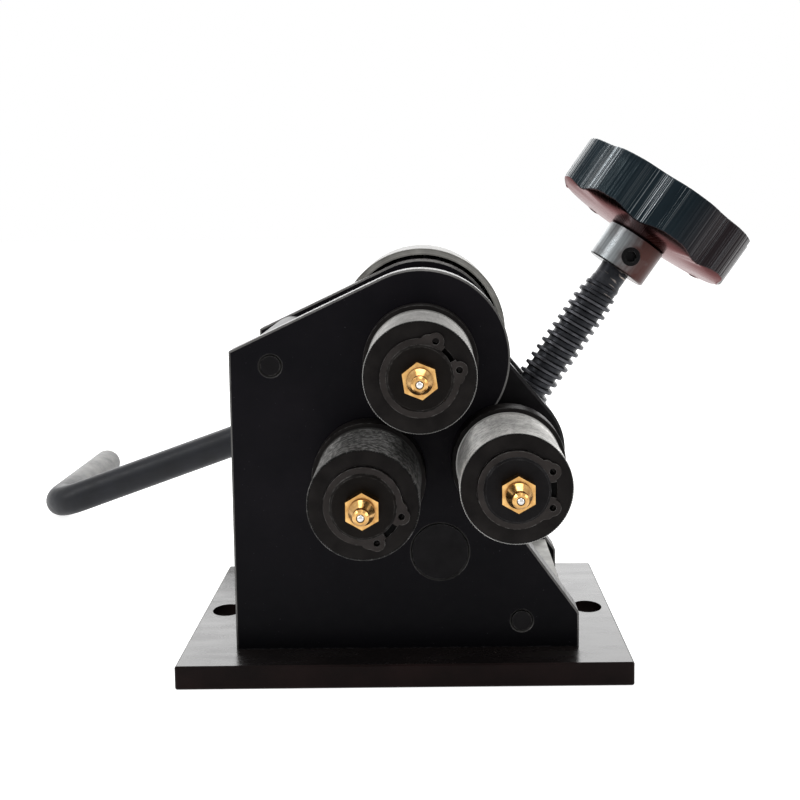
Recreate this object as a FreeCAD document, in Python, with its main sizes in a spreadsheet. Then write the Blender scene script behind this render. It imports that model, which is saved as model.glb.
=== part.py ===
import FreeCAD, Part

import math
import os

import Sketcher

os.makedirs("parts", exist_ok=True)
doc = FreeCAD.newDocument("ring_roller")
Vector = FreeCAD.Vector

# Frame: X along the base, Y from the rollers to the gear case, Z up, origin at the middle of the underside.
# Lengths in millimetres, angles in degrees.
DIMENSIONS = {
    # base plate
    "base_length": 180,
    "base_depth": 110,
    "base_thickness": 9.5,
    "base_edge": 0.6,
    "mount_spacing": 160,
    "mount_bore": 13,
    # the two upright plates
    "plate_front": -40,
    "plate_thickness": 12,
    "plate_gap": 62,
    "plate_left": -68.5,
    "plate_right": 70.5,
    "plate_corner": 131.3,
    "lobe_radius": 35.5,
    "notch_reach": 19.4,
    "slope_foot": 23.5,
    "notch_fillet": 4,
    "slope_fillet": 2,
    "plate_edge": 0.8,
    "plate_screw_left": -54,
    "plate_screw_right": 60,
    "plate_screw": 8,
    "plate_screw_grip": 14,
    "plate_screw_sink": 4,
    # axes of the shafts and of the pin that holds the foot of the screw
    "top_axis_x": 7.5,
    "top_axis_z": 127.8,
    "left_axis_lean": 114.3,
    "right_axis_x": 41.4,
    "right_axis_z": 87.6,
    "pivot_x": 14.5,
    "pivot_z": 49.4,
    # tie rod and spacer between the plates
    "tie_rod_x": -52,
    "tie_rod_z": 125.5,
    "tie_rod_diameter": 24,
    "cross_pin": 8,
    "pin_ring": 0.9,
    "spacer_left": 29,
    "spacer_right": 65.5,
    "spacer_height": 19.3,
    "spacer_pin_x": 47.3,
    "spacer_pin_z": 20.4,
    # fits
    "running_gap": 0.05,
    "seat_gap": 0.02,
    "side_gap": 0.3,
    # shafts and their bushes
    "shaft_diameter": 24,
    "shaft_overhang": 2.5,
    "shaft_edge": 0.8,
    "bush_diameter": 30,
    "roller_bush_diameter": 28,
    "nipple_bore": 8.5,
    # rollers
    "roller_diameter": 40.5,
    "roller_front": -84.5,
    "roller_edge": 1.0,
    "flange_diameter": 44.6,
    "flange_front": -50.5,
    "flange_edge": 0.5,
    # circlips
    "circlip_thickness": 1.3,
    "circlip_width": 2.75,
    "circlip_groove": 0.7,
    "circlip_lug_orbit": 14.1,
    "circlip_lug_radius": 3,
    "circlip_hole": 2.4,
    "circlip_root_orbit": 12.7,
    "circlip_root_angle": 37.5,
    "circlip_lug_angle": 27.5,
    "circlip_opening": 12,
    "top_circlip_angle": 39,
    "left_circlip_angle": -43,
    # grease nipples
    "nipple_flats": 11.5,
    "nipple_hex": 5,
    "nipple_thread": 8,
    "nipple_cone": 9.2,
    "nipple_barrel": 1.4,
    "nipple_neck": 5.8,
    "nipple_neck_length": 4.4,
    "nipple_head_length": 3.2,
    "nipple_mouth": 4.4,
    "ball_radius": 1.4,
    "top_nipple_turn": 8,
    # swing arm
    "cheek_thickness": 12,
    "cheek_radius": 25,
    "cheek_edge": 1,
    "arm_sleeve_diameter": 34,
    # nut block on the right roller's shaft
    "block_diameter": 40,
    "insert_diameter": 28,
    "insert_bore": 21.6,
    # pin under the screw
    "journal_diameter": 22.5,
    "pin_body_diameter": 36,
    "pin_flat": 15,
    "journal_edge": 0.8,
    "pin_recess": 0.4,
    # bending screw, measured along its axis
    "screw_diameter": 17.6,
    "screw_foot": 12,
    "screw_shank": 13,
    "screw_spigot": 10,
    "thread_length": 110.4,
    "shank_length": 9.4,
    "hub_length": 16.5,
    "hub_diameter": 26.5,
    "hub_edge": 0.6,
    "set_screw": 8,
    "set_screw_socket": 4.4,
    "set_screw_socket_depth": 2.6,
    "set_screw_height": 7.2,
    "foot_collar_diameter": 22,
    "foot_collar_length": 8,
    "collar_pin": 4,
    "foot_overhang": 2,
    # handwheel
    "wheel_diameter": 83,
    "wheel_thickness": 19.4,
    "wheel_cone": 2,
    "wheel_foot_ring": 2.5,
    "wheel_foot_rise": 2.2,
    "wheel_top_ring": 12,
    "wheel_dish": 3,
    "wheel_edge": 0.6,
    "scallop_count": 8,
    "scallop_radius": 17,
    "scallop_depth": 2.4,
    "scallop_start": 27.5,
    "lobe_round": 6,
    "wheel_nut_flats": 18,
    "wheel_nut_height": 6,
    # gears
    "gear_module": 2,
    "gear_teeth": 34,
    "pinion_teeth": 16,
    "pressure_angle": 20,
    "tooth_play": 0.1,
    "gear_width": 20,
    "pinion_width": 22,
    "gear_setback": 5,
    "pinion_seat": 18,
    "shaft_rear_overhang": 6,
    # keys
    "key_width": 6,
    "key_height": 6,
    "key_depth": 3.5,
    "roller_key_inset": 5,
    "gear_key_inset": 2,
    # gear case
    "case_wall": 3,
    "case_radius": 40.2,
    "case_foot_radius": 26,
    "case_depth": 46,
    "cover_thickness": 4.5,
    "case_lug_radius": 8,
    "case_lug_step": 3,
    "case_lug_top": 200,
    "case_lug_right": -25,
    "case_lug_left": 215,
    "case_screw": 6,
    "case_screw_head": 10,
    "case_screw_socket": 5,
    "case_screw_grip": 9,
    "cover_bush_diameter": 26,
    "cover_bush_flange": 32,
    "cover_bush_lip": 2.5,
    # crank
    "crank_plane": 158.7,
    "crank_bar": 18,
    "crank_throw": 218,
    "crank_droop": 19.5,
    "crank_bend": 20,
    "grip_end": 267,
    "grip_round": 4,
    "crank_hub_diameter": 34,
    "crank_hub_length": 36,
    "crank_hub_edge": 1.5,
    "crank_thread": 14,
    "crank_washer_diameter": 28,
    "crank_washer": 3,
    "crank_nut_flats": 22,
    "crank_nut_height": 11,
}

FULL_TURN = 360
HALF_TURN = 180
QUARTER_TURN = 90
HEX_SIDES = 6
FLANK_STEPS = 8


class Size:
    """A number together with the spreadsheet expression that gives it."""

    def __init__(self, number, text):
        self.number = float(number)
        self.text = text

    def __add__(self, other):
        other = as_size(other)
        return Size(self.number + other.number, f"({self.text} + {other.text})")

    def __sub__(self, other):
        other = as_size(other)
        return Size(self.number - other.number, f"({self.text} - {other.text})")

    def __mul__(self, other):
        other = as_size(other)
        return Size(self.number * other.number, f"({self.text} * {other.text})")

    def __truediv__(self, other):
        other = as_size(other)
        return Size(self.number / other.number, f"({self.text} / {other.text})")

    def __neg__(self):
        return Size(-self.number, f"(-1 * {self.text})")


def as_size(value):
    if isinstance(value, Size):
        return value
    return Size(value, f"({value:g})")


def cosine(angle):
    return Size(math.cos(math.radians(angle.number)), f"cos({angle.text})")


def sine(angle):
    return Size(math.sin(math.radians(angle.number)), f"sin({angle.text})")


def hypotenuse(a, b):
    return Size(math.hypot(a.number, b.number), f"hypot({a.text}; {b.text})")


def direction(rise, run):
    angle = math.degrees(math.atan2(rise.number, run.number))
    return Size(angle, f"atan2({rise.text}; {run.text})")


class Sheet:
    """The driving dimensions as attributes, each a Size bound to its cell."""


def make_sheet():
    cells = doc.addObject("Spreadsheet::Sheet", "Dimensions")
    sizes = Sheet()
    for row, (alias, value) in enumerate(DIMENSIONS.items(), start=1):
        cells.set(f"A{row}", alias)
        cells.set(f"B{row}", f"{value:g}")
        cells.setAlias(f"B{row}", alias)
        setattr(sizes, alias, Size(value, f"Dimensions.{alias}"))
    doc.recompute()
    return sizes


d = make_sheet()
ZERO = as_size(0)
FRONT = Vector(0, -1, 0)
UPRIGHT = Vector(0, 1, 0)


# ---------------------------------------------------------------- building blocks

def bind(item, path, size):
    item.setExpression(path, size.text)


def new_body(label):
    body = doc.addObject("PartDesign::Body", label)
    body.Label = label
    return body


def new_sketch(body, role, offset=ZERO):
    """A sketch on one of the body's own planes, moved along the plane's normal."""
    sketch = body.newObject("Sketcher::SketchObject", "Sketch")
    plane = next(item for item in body.Origin.OriginFeatures if item.Role == role)
    sketch.AttachmentSupport = [(plane, "")]
    sketch.MapMode = "FlatFace"
    bind(sketch, "AttachmentOffset.Base.z", offset)
    return sketch


def facing(body, depth):
    """A sketch seen from the front, at the given distance along +Y."""
    return new_sketch(body, "XZ_Plane", -depth)


def dimension(sketch, kind, *where, size):
    index = sketch.addConstraint(Sketcher.Constraint(kind, *where, size.number))
    sketch.setExpression(f"Constraints[{index}]", size.text)


def fix_point(sketch, geometry, vertex, x, y):
    dimension(sketch, "DistanceX", -1, 1, geometry, vertex, size=as_size(x))
    dimension(sketch, "DistanceY", -1, 1, geometry, vertex, size=as_size(y))


def add_line(sketch, start, end):
    points = [Vector(as_size(x).number, as_size(y).number, 0) for x, y in (start, end)]
    return sketch.addGeometry(Part.LineSegment(*points), False)


def polygon(sketch, points):
    """A closed outline with every corner dimensioned from the origin."""
    following = points[1:] + points[:1]
    lines = [add_line(sketch, start, end) for start, end in zip(points, following)]
    for line, after in zip(lines, lines[1:] + lines[:1]):
        sketch.addConstraint(Sketcher.Constraint("Coincident", line, 2, after, 1))
    for line, (x, y) in zip(lines, points):
        fix_point(sketch, line, 1, x, y)


def add_circle(sketch, x, y, radius):
    x, y = as_size(x), as_size(y)
    centre = Vector(x.number, y.number, 0)
    circle = sketch.addGeometry(Part.Circle(centre, Vector(0, 0, 1), radius.number), False)
    dimension(sketch, "Radius", circle, size=radius)
    fix_point(sketch, circle, 3, x, y)


def add_arc(sketch, x, y, radius, start, end):
    """An arc from start to end, anticlockwise, with its centre and radius dimensioned."""
    circle = Part.Circle(Vector(x.number, y.number, 0), Vector(0, 0, 1), radius.number)
    arc = sketch.addGeometry(Part.ArcOfCircle(circle, start, end), False)
    dimension(sketch, "Radius", arc, size=radius)
    fix_point(sketch, arc, 3, x, y)
    return arc


def rectangle(sketch, left, bottom, right, top):
    polygon(sketch, [(left, bottom), (right, bottom), (right, top), (left, top)])


def belt(sketch, first, first_radius, second, second_radius):
    """The outline of a belt round two circles: two arcs and their common tangents."""
    (x1, y1), (x2, y2) = first, second
    along = math.atan2(y2.number - y1.number, x2.number - x1.number)
    distance = math.hypot(x2.number - x1.number, y2.number - y1.number)
    wrap = math.acos((first_radius.number - second_radius.number) / distance)
    upper, lower = along + wrap, along - wrap
    outer = add_arc(sketch, x1, y1, first_radius, upper, lower + 2 * math.pi)
    inner = add_arc(sketch, x2, y2, second_radius, lower, upper)

    def rim(x, y, radius, angle):
        return x.number + radius.number * math.cos(angle), y.number + radius.number * math.sin(angle)

    low_line = add_line(sketch, rim(x1, y1, first_radius, lower), rim(x2, y2, second_radius, lower))
    high_line = add_line(sketch, rim(x2, y2, second_radius, upper), rim(x1, y1, first_radius, upper))
    for one, end, other, start in ((outer, 2, low_line, 1), (low_line, 2, inner, 1),
                                   (inner, 2, high_line, 1), (high_line, 2, outer, 1)):
        sketch.addConstraint(Sketcher.Constraint("Tangent", one, end, other, start))


def pad(body, sketch, length, reverse=False):
    feature = body.newObject("PartDesign::Pad", "Pad")
    feature.Profile = sketch
    feature.Reversed = reverse
    bind(feature, "Length", length)
    doc.recompute()
    return feature


def pocket(body, sketch, length, reverse=False):
    """Cuts the sketch to a depth and makes sure that something was cut."""
    before = body.Shape.Volume
    feature = body.newObject("PartDesign::Pocket", "Pocket")
    feature.Profile = sketch
    feature.Reversed = reverse
    bind(feature, "Length", length)
    doc.recompute()
    if not feature.Shape.Volume < before:
        raise RuntimeError(f"{body.Label}: a pocket cut nothing")
    return feature


def edge_names(shape, wanted):
    return [f"Edge{index}" for index, edge in enumerate(shape.Edges, start=1) if wanted(edge)]


def dress(body, kind, path, size, wanted):
    """A Chamfer or Fillet on the edges of the tip that wanted() picks."""
    base = body.Tip
    feature = body.newObject(f"PartDesign::{kind}", kind)
    feature.Base = (base, edge_names(base.Shape, wanted))
    bind(feature, path, size)
    doc.recompute()
    return feature


def chamfer(body, size, wanted):
    return dress(body, "Chamfer", "Size", size, wanted)


def fillet(body, size, wanted):
    return dress(body, "Fillet", "Radius", size, wanted)


def turned(label, points, role="XY_Plane"):
    """A body of revolution about the sketch's vertical axis, from (radius, height) corners."""
    body = new_body(label)
    sketch = new_sketch(body, role)
    polygon(sketch, points)
    feature = body.newObject("PartDesign::Revolution", "Revolution")
    feature.Profile = sketch
    feature.ReferenceAxis = (sketch, ["V_Axis"])
    feature.Angle = FULL_TURN
    doc.recompute()
    return body


def tube(label, inner, outer, start, end, role="XY_Plane"):
    return turned(label, [(inner, start), (outer, start), (outer, end), (inner, end)], role)


def place(item, x=ZERO, y=ZERO, z=ZERO, axis=UPRIGHT, angle=None):
    turn = FreeCAD.Rotation() if angle is None else FreeCAD.Rotation(axis, angle.number)
    item.Placement = FreeCAD.Placement(Vector(x.number, y.number, z.number), turn)
    for name, size in (("x", x), ("y", y), ("z", z)):
        bind(item, f"Placement.Base.{name}", size)
    if angle is not None:
        bind(item, "Placement.Rotation.Angle", angle)
    return item


def group(label, members):
    """Several separate solids that share one node."""
    item = doc.addObject("Part::Compound", label)
    item.Label = label
    item.Links = members
    return item


def hex_points(flats, turn=0):
    radius = flats / as_size(math.sqrt(3))
    angles = [as_size(turn + FULL_TURN / HEX_SIDES * (side + 0.5)) for side in range(HEX_SIDES)]
    return [(radius * cosine(angle), radius * sine(angle)) for angle in angles]


def at_height(value, axis):
    """Picks edges that lie in the plane where the coordinate has this value."""
    def test(edge):
        box = edge.BoundBox
        low, high = (box.YMin, box.YMax) if axis == "Y" else (box.ZMin, box.ZMax)
        return abs(low - value.number) < TOUCH and abs(high - value.number) < TOUCH
    return test


TOUCH = 0.001

# ---------------------------------------------------------------- derived places

centre_distance = d.gear_module * (d.gear_teeth + d.pinion_teeth) / 2
top_axis = (d.top_axis_x, d.top_axis_z)
left_axis = (d.top_axis_x + centre_distance * cosine(d.left_axis_lean),
             d.top_axis_z - centre_distance * sine(d.left_axis_lean))
right_axis = (d.right_axis_x, d.right_axis_z)
pivot = (d.pivot_x, d.pivot_z)

plate_inner = d.plate_front + d.plate_thickness
back_inner = plate_inner + d.plate_gap
plate_back = back_inner + d.plate_thickness
mid_plane = plate_inner + d.plate_gap / 2

shaft_radius = d.shaft_diameter / 2
shaft_front = d.roller_front - d.shaft_overhang
roller_back = d.plate_front - d.side_gap * 3
circlip_back = d.roller_front - d.side_gap
circlip_front = circlip_back - d.circlip_thickness
groove_front = circlip_front - d.running_gap
groove_back = circlip_back + d.running_gap
groove_radius = shaft_radius - d.circlip_groove
circlip_bore = groove_radius + d.running_gap

screw_rise = d.right_axis_z - d.pivot_z
screw_run = d.right_axis_x - d.pivot_x
screw_tilt = direction(screw_run, screw_rise)
nut_height = hypotenuse(screw_run, screw_rise)

case_front = plate_back
case_back = case_front + d.case_depth
cover_back = case_back + d.cover_thickness
gear_front = case_front + d.gear_setback
gear_back = gear_front + d.gear_width
pinion_front = gear_front - (d.pinion_width - d.gear_width) / 2
pinion_back = pinion_front + d.pinion_width


# ---------------------------------------------------------------- frame

def plate_screw_places():
    front_row = d.plate_front + d.plate_thickness / 2
    back_row = back_inner + d.plate_thickness / 2
    return [(x, y) for y in (front_row, back_row) for x in (d.plate_screw_left, d.plate_screw_right)]


def base_plate():
    body = new_body("base_plate")
    sketch = new_sketch(body, "XY_Plane")
    rectangle(sketch, -d.base_length / 2, -d.base_depth / 2, d.base_length / 2, d.base_depth / 2)
    pad(body, sketch, d.base_thickness)
    chamfer(body, d.base_edge, lambda edge: True)
    holes = new_sketch(body, "XY_Plane")
    for side in (-1, 1):
        add_circle(holes, d.mount_spacing / 2 * side, 0, d.mount_bore / 2)
    for x, y in plate_screw_places():
        add_circle(holes, x, y, d.plate_screw / 2 + d.seat_gap)
    pocket(body, holes, d.base_thickness, reverse=True)
    under = at_height(ZERO, "Z")
    countersunk = d.plate_screw.number / 2 + d.seat_gap.number
    chamfer(body, d.plate_screw_sink + d.seat_gap,
            lambda edge: under(edge) and hasattr(edge.Curve, "Radius")
            and abs(edge.Curve.Radius - countersunk) < TOUCH)
    return body


def plate_screws():
    radius = d.plate_screw / 2
    head = radius + d.plate_screw_sink
    tip = d.base_thickness + d.plate_screw_grip
    profile = [(ZERO, ZERO), (head, ZERO), (radius, d.plate_screw_sink), (radius, tip - d.base_edge),
               (radius - d.base_edge, tip), (ZERO, tip)]
    members = []
    for x, y in plate_screw_places():
        screw = turned("plate_screw_one", profile, "XZ_Plane")
        members.append(place(screw, x, y))
    return group("plate_screws", members)


def plate_outline(sketch):
    """The straight left and bottom sides, the lobe round the top shaft and the slope under the notch."""
    centre_x, centre_z = top_axis
    corner_x = centre_x.number - d.plate_left.number
    corner_z = centre_z.number - d.plate_corner.number
    reach = math.hypot(corner_x, corner_z)
    tangent = math.atan2(corner_z, corner_x) + math.asin(d.lobe_radius.number / reach) + math.pi / 2
    sweep = d.notch_reach.number - centre_x.number
    start = -math.acos(sweep / d.lobe_radius.number)
    lobe = add_arc(sketch, centre_x, centre_z, d.lobe_radius, start, tangent)
    top = (centre_x.number + d.lobe_radius.number * math.cos(tangent),
           centre_z.number + d.lobe_radius.number * math.sin(tangent))
    notch = (d.notch_reach, centre_z.number + d.lobe_radius.number * math.sin(start))
    corners = [top, (d.plate_left, d.plate_corner), (d.plate_left, d.base_thickness),
               (d.plate_right, d.base_thickness), (d.plate_right, d.slope_foot), notch]
    lines = [add_line(sketch, one, two) for one, two in zip(corners, corners[1:])]
    for line, after in zip(lines, lines[1:]):
        sketch.addConstraint(Sketcher.Constraint("Coincident", line, 2, after, 1))
    for line, (x, z) in zip(lines, corners[1:-1]):
        fix_point(sketch, line, 2, x, z)
    sketch.addConstraint(Sketcher.Constraint("Tangent", lobe, 2, lines[0], 1))
    sketch.addConstraint(Sketcher.Constraint("Coincident", lobe, 1, lines[-1], 2))
    dimension(sketch, "DistanceX", -1, 1, lobe, 1, size=d.notch_reach)


def runs_back(x, z_test):
    """Picks the edges along Y at this X whose height passes the test."""
    def test(edge):
        box = edge.BoundBox
        upright = box.YLength > 1 and box.XLength < TOUCH and box.ZLength < TOUCH
        return upright and abs(box.XMin - x.number) < TOUCH and z_test(box.ZMin)
    return test


def upright_plate(label, front):
    """One of the two alike plates, with its near face at the given Y."""
    body = new_body(label)
    sketch = facing(body, front)
    plate_outline(sketch)
    pad(body, sketch, d.plate_thickness, reverse=True)
    fillet(body, d.notch_fillet, runs_back(d.notch_reach, lambda z: True))
    fillet(body, d.slope_fillet, runs_back(d.plate_right, lambda z: z > d.base_thickness.number + 1))
    near = at_height(front, "Y")
    far = at_height(front + d.plate_thickness, "Y")
    above = d.base_thickness.number + d.plate_edge.number
    chamfer(body, d.plate_edge, lambda edge: (near(edge) or far(edge)) and edge.BoundBox.ZMax > above)
    holes = facing(body, front)
    for axis in (top_axis, left_axis):
        add_circle(holes, *axis, d.bush_diameter / 2 + d.seat_gap)
    add_circle(holes, *pivot, d.journal_diameter / 2 + d.running_gap)
    for x, z in ((d.tie_rod_x, d.tie_rod_z), (d.spacer_pin_x, d.spacer_pin_z)):
        add_circle(holes, x, z, d.cross_pin / 2 + d.seat_gap)
    pocket(body, holes, d.plate_thickness)
    taps = new_sketch(body, "XY_Plane", d.base_thickness)
    for x in (d.plate_screw_left, d.plate_screw_right):
        add_circle(taps, x, front + d.plate_thickness / 2, d.plate_screw / 2 + d.seat_gap)
    pocket(body, taps, d.plate_screw_grip + d.side_gap, reverse=True)
    return body


def round_edge(radius, plane):
    """Picks full circles of this radius in a plane across Y."""
    def test(edge):
        return (hasattr(edge.Curve, "Radius") and abs(edge.Curve.Radius - radius.number) < TOUCH
                and plane(edge))
    return test


def front_plate():
    body = upright_plate("front_plate", d.plate_front)
    near = at_height(d.plate_front, "Y")
    chamfer(body, d.journal_edge, round_edge(d.journal_diameter / 2 + d.running_gap, near))
    chamfer(body, d.pin_ring, round_edge(d.cross_pin / 2 + d.seat_gap, near))
    return body


def case_screw_places():
    """The three lugs of the gear case: one on the large circle and two on the small one."""
    large = d.case_radius + d.case_lug_step
    small = d.case_foot_radius + d.case_lug_step
    spots = ((top_axis, large, d.case_lug_top), (left_axis, small, d.case_lug_right),
             (left_axis, small, d.case_lug_left))
    return [(x + orbit * cosine(angle), z + orbit * sine(angle)) for (x, z), orbit, angle in spots]


def back_plate():
    body = upright_plate("back_plate", back_inner)
    taps = facing(body, plate_back)
    for x, z in case_screw_places():
        add_circle(taps, x, z, d.case_screw / 2 + d.seat_gap)
    pocket(body, taps, d.case_screw_grip + d.side_gap, reverse=True)
    return body


def upper_tie_rod():
    pin = d.cross_pin / 2
    rod = d.tie_rod_diameter / 2
    edge = d.plate_edge
    body = turned("upper_tie_rod", [
        (ZERO, d.plate_front), (pin, d.plate_front), (pin, plate_inner), (rod - edge, plate_inner),
        (rod, plate_inner + edge), (rod, back_inner - edge), (rod - edge, back_inner),
        (pin, back_inner), (pin, plate_back), (ZERO, plate_back)])
    return place(body, d.tie_rod_x, ZERO, d.tie_rod_z)


def lower_spacer():
    body = new_body("lower_spacer")
    sketch = facing(body, plate_inner)
    rectangle(sketch, d.spacer_left, d.base_thickness, d.spacer_right, d.base_thickness + d.spacer_height)
    pad(body, sketch, d.plate_gap, reverse=True)
    hole = facing(body, plate_inner)
    add_circle(hole, d.spacer_pin_x, d.spacer_pin_z, d.cross_pin / 2 + d.seat_gap)
    pocket(body, hole, d.plate_gap)
    return body


def spacer_pin():
    body = tube("spacer_pin", ZERO, d.cross_pin / 2, d.plate_front, plate_back)
    return place(body, d.spacer_pin_x, ZERO, d.spacer_pin_z)


def shaft_bushes(label, front):
    """The pair of plain bushes that one plate holds for the top and left shafts."""
    members = []
    for x, z in (top_axis, left_axis):
        bush = tube("bush_one", shaft_radius + d.running_gap, d.bush_diameter / 2, front,
                    front + d.plate_thickness)
        members.append(place(bush, x, ZERO, z))
    return group(label, members)


def case_outline(body, front, inset=ZERO):
    sketch = facing(body, front)
    belt(sketch, top_axis, d.case_radius - inset, left_axis, d.case_foot_radius - inset)
    return sketch


def add_case_lugs(body, front, depth):
    lugs = facing(body, front)
    for x, z in case_screw_places():
        add_circle(lugs, x, z, d.case_lug_radius)
    pad(body, lugs, depth, reverse=True)


def drill_case_lugs(body, front, depth):
    holes = facing(body, front)
    for x, z in case_screw_places():
        add_circle(holes, x, z, d.case_screw / 2 + d.running_gap)
    pocket(body, holes, depth)


def gear_case():
    body = new_body("gear_case")
    pad(body, case_outline(body, case_front), d.case_depth, reverse=True)
    add_case_lugs(body, case_front, d.case_depth)
    pocket(body, case_outline(body, case_front, d.case_wall), d.case_depth)
    drill_case_lugs(body, case_front, d.case_depth)
    return body


def gear_case_cover():
    body = new_body("gear_case_cover")
    pad(body, case_outline(body, case_back), d.cover_thickness, reverse=True)
    add_case_lugs(body, case_back, d.cover_thickness)
    rim = at_height(cover_back, "Y")
    chamfer(body, d.plate_edge, rim)
    drill_case_lugs(body, case_back, d.cover_thickness)
    hole = facing(body, case_back)
    add_circle(hole, *left_axis, d.cover_bush_diameter / 2 + d.seat_gap)
    pocket(body, hole, d.cover_thickness)
    return body


def cap_screw(label, start, end):
    """A socket head cap screw: its head outside end, its shank back to start."""
    shank = d.case_screw / 2
    head = d.case_screw_head / 2
    top = end + d.case_screw
    key = d.case_screw_socket / 2
    floor = end + d.case_screw / 2
    edge = d.plate_edge
    return turned(label, [
        (ZERO, start), (shank, start), (shank, end), (head, end), (head, top - edge), (head - edge, top),
        (key, top), (key, floor), (ZERO, floor)])


def cover_screws():
    members = []
    for x, z in case_screw_places():
        screw = cap_screw("cover_screw_one", plate_back - d.case_screw_grip, cover_back)
        members.append(place(screw, x, ZERO, z))
    return group("cover_screws", members)


def cover_bush():
    bore = d.pinion_seat / 2 + d.running_gap
    body = turned("cover_bush", [
        (bore, case_back), (d.cover_bush_diameter / 2, case_back), (d.cover_bush_diameter / 2, cover_back),
        (d.cover_bush_flange / 2, cover_back), (d.cover_bush_flange / 2, cover_back + d.cover_bush_lip),
        (bore, cover_back + d.cover_bush_lip)])
    return place(body, left_axis[0], ZERO, left_axis[1])


# ---------------------------------------------------------------- shaft ends

def shaft_nose(end_axis_depth):
    """The front of a shaft: the nipple's bore, the chamfer and the circlip groove, from the axis out."""
    bore = d.nipple_bore / 2
    floor = shaft_front + d.nipple_thread + end_axis_depth
    return [(ZERO, floor), (bore, floor), (bore, shaft_front), (shaft_radius - d.shaft_edge, shaft_front),
            (shaft_radius, shaft_front + d.shaft_edge), (shaft_radius, groove_front),
            (groove_radius, groove_front), (groove_radius, groove_back), (shaft_radius, groove_back)]


def open_ring(body, front):
    """A flat ring for a shaft's groove, open towards +X."""
    ring = facing(body, front)
    add_circle(ring, 0, 0, circlip_bore + d.circlip_width)
    add_circle(ring, 0, 0, circlip_bore)
    pad(body, ring, d.circlip_thickness, reverse=True)
    reach = d.circlip_lug_orbit * 2
    rise = reach * sine(d.circlip_opening)
    wedge = facing(body, front)
    polygon(wedge, [(ZERO, ZERO), (reach * cosine(d.circlip_opening), -rise),
                    (reach * cosine(d.circlip_opening), rise)])
    pocket(body, wedge, d.circlip_thickness)


def beside_gap(orbit, angle):
    """The two places beside a circlip's gap, one on each side."""
    return [(orbit * cosine(angle), orbit * sine(turn)) for turn in (angle, -angle)]


def circlip(label, axis, angle=None):
    """A circlip with an eye in each lug; a second disc at the root of a lug runs it into the ring."""
    body = new_body(label)
    open_ring(body, circlip_front)
    holes = beside_gap(d.circlip_lug_orbit, d.circlip_lug_angle)
    roots = beside_gap(d.circlip_root_orbit, d.circlip_root_angle)
    for places in (holes, roots):
        lugs = facing(body, circlip_front)
        for x, z in places:
            add_circle(lugs, x, z, d.circlip_lug_radius)
        pad(body, lugs, d.circlip_thickness, reverse=True)
    eyes = facing(body, circlip_front)
    for x, z in holes:
        add_circle(eyes, x, z, d.circlip_hole / 2)
    add_circle(eyes, 0, 0, circlip_bore)
    pocket(body, eyes, d.circlip_thickness)
    return place(body, axis[0], ZERO, axis[1], FRONT, angle)


nipple_hex_front = shaft_front - d.nipple_hex
nipple_head_back = nipple_hex_front - d.nipple_neck_length
nipple_front = nipple_head_back - d.nipple_head_length


def nipple(label, axis, angle=None):
    """A grease nipple: thread in the shaft, hexagon, cone, neck and head with its ball seat."""
    thread = (d.nipple_bore - d.running_gap * 2) / 2
    seat = d.ball_radius + d.running_gap
    seat_floor = nipple_front + d.ball_radius * 2
    shoulder = nipple_front + (nipple_head_back - nipple_front) / 4
    body = turned(label, [
        (ZERO, shaft_front + d.nipple_thread), (thread, shaft_front + d.nipple_thread), (thread, shaft_front),
        (d.nipple_cone / 2, shaft_front), (d.nipple_cone / 2, nipple_hex_front - d.nipple_barrel),
        (d.nipple_neck / 2, nipple_head_back), (d.nipple_neck / 2, shoulder),
        (d.nipple_mouth / 2, nipple_front), (seat, nipple_front), (seat, seat_floor), (ZERO, seat_floor)])
    hexagon = facing(body, nipple_hex_front)
    polygon(hexagon, hex_points(d.nipple_flats, 0))
    pad(body, hexagon, d.nipple_hex, reverse=True)
    return place(body, axis[0], ZERO, axis[1], FRONT, angle)


def nipple_ball(label, axis):
    ball = doc.addObject("Part::Sphere", label)
    ball.Label = label
    bind(ball, "Radius", d.ball_radius)
    return place(ball, axis[0], nipple_front + d.ball_radius / 2, axis[1])


def key(label, half_shaft, start, end):
    """A parallel key that lies on the upper side of a shaft."""
    box = doc.addObject("Part::Box", label)
    box.Label = label
    bind(box, "Length", d.key_width)
    bind(box, "Width", end - start)
    bind(box, "Height", d.key_height)
    return box, (-d.key_width / 2, start, half_shaft - d.key_depth)


def keys(label, axis, spans):
    members = []
    for half_shaft, start, end in spans:
        box, (x, y, z) = key("key_one", half_shaft, start, end)
        members.append(place(box, axis[0] + x, y, axis[1] + z))
    return group(label, members)


def cut_key_seat(body, half_shaft, start, end):
    """The seat of a key, cut into a shaft that lies on the body's own Y axis."""
    seat = new_sketch(body, "XY_Plane", half_shaft - d.key_depth)
    rectangle(seat, -d.key_width / 2, start, d.key_width / 2, end)
    pocket(body, seat, d.key_height, reverse=True)


def cut_key_way(body, half_shaft, start, end):
    """The slot for a key along the whole bore of what sits on the shaft."""
    slot = facing(body, start)
    top = half_shaft - d.key_depth + d.key_height + d.running_gap
    rectangle(slot, -d.key_width / 2, ZERO, d.key_width / 2, top)
    pocket(body, slot, end - start)


# ---------------------------------------------------------------- rollers

def roller(label, axis, bore):
    """Knurled barrel with a larger plain flange at the plate side."""
    barrel = d.roller_diameter / 2
    flange = d.flange_diameter / 2
    body = turned(label, [
        (bore, d.roller_front), (barrel - d.roller_edge, d.roller_front),
        (barrel, d.roller_front + d.roller_edge), (barrel, d.flange_front),
        (flange - d.flange_edge, d.flange_front), (flange, d.flange_front + d.flange_edge),
        (flange, roller_back - d.flange_edge), (flange - d.flange_edge, roller_back), (bore, roller_back)])
    return place(body, axis[0], ZERO, axis[1])


def roller_bush(label, axis):
    body = tube(label, shaft_radius + d.running_gap, d.roller_bush_diameter / 2, d.roller_front, roller_back)
    return place(body, axis[0], ZERO, axis[1])


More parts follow.
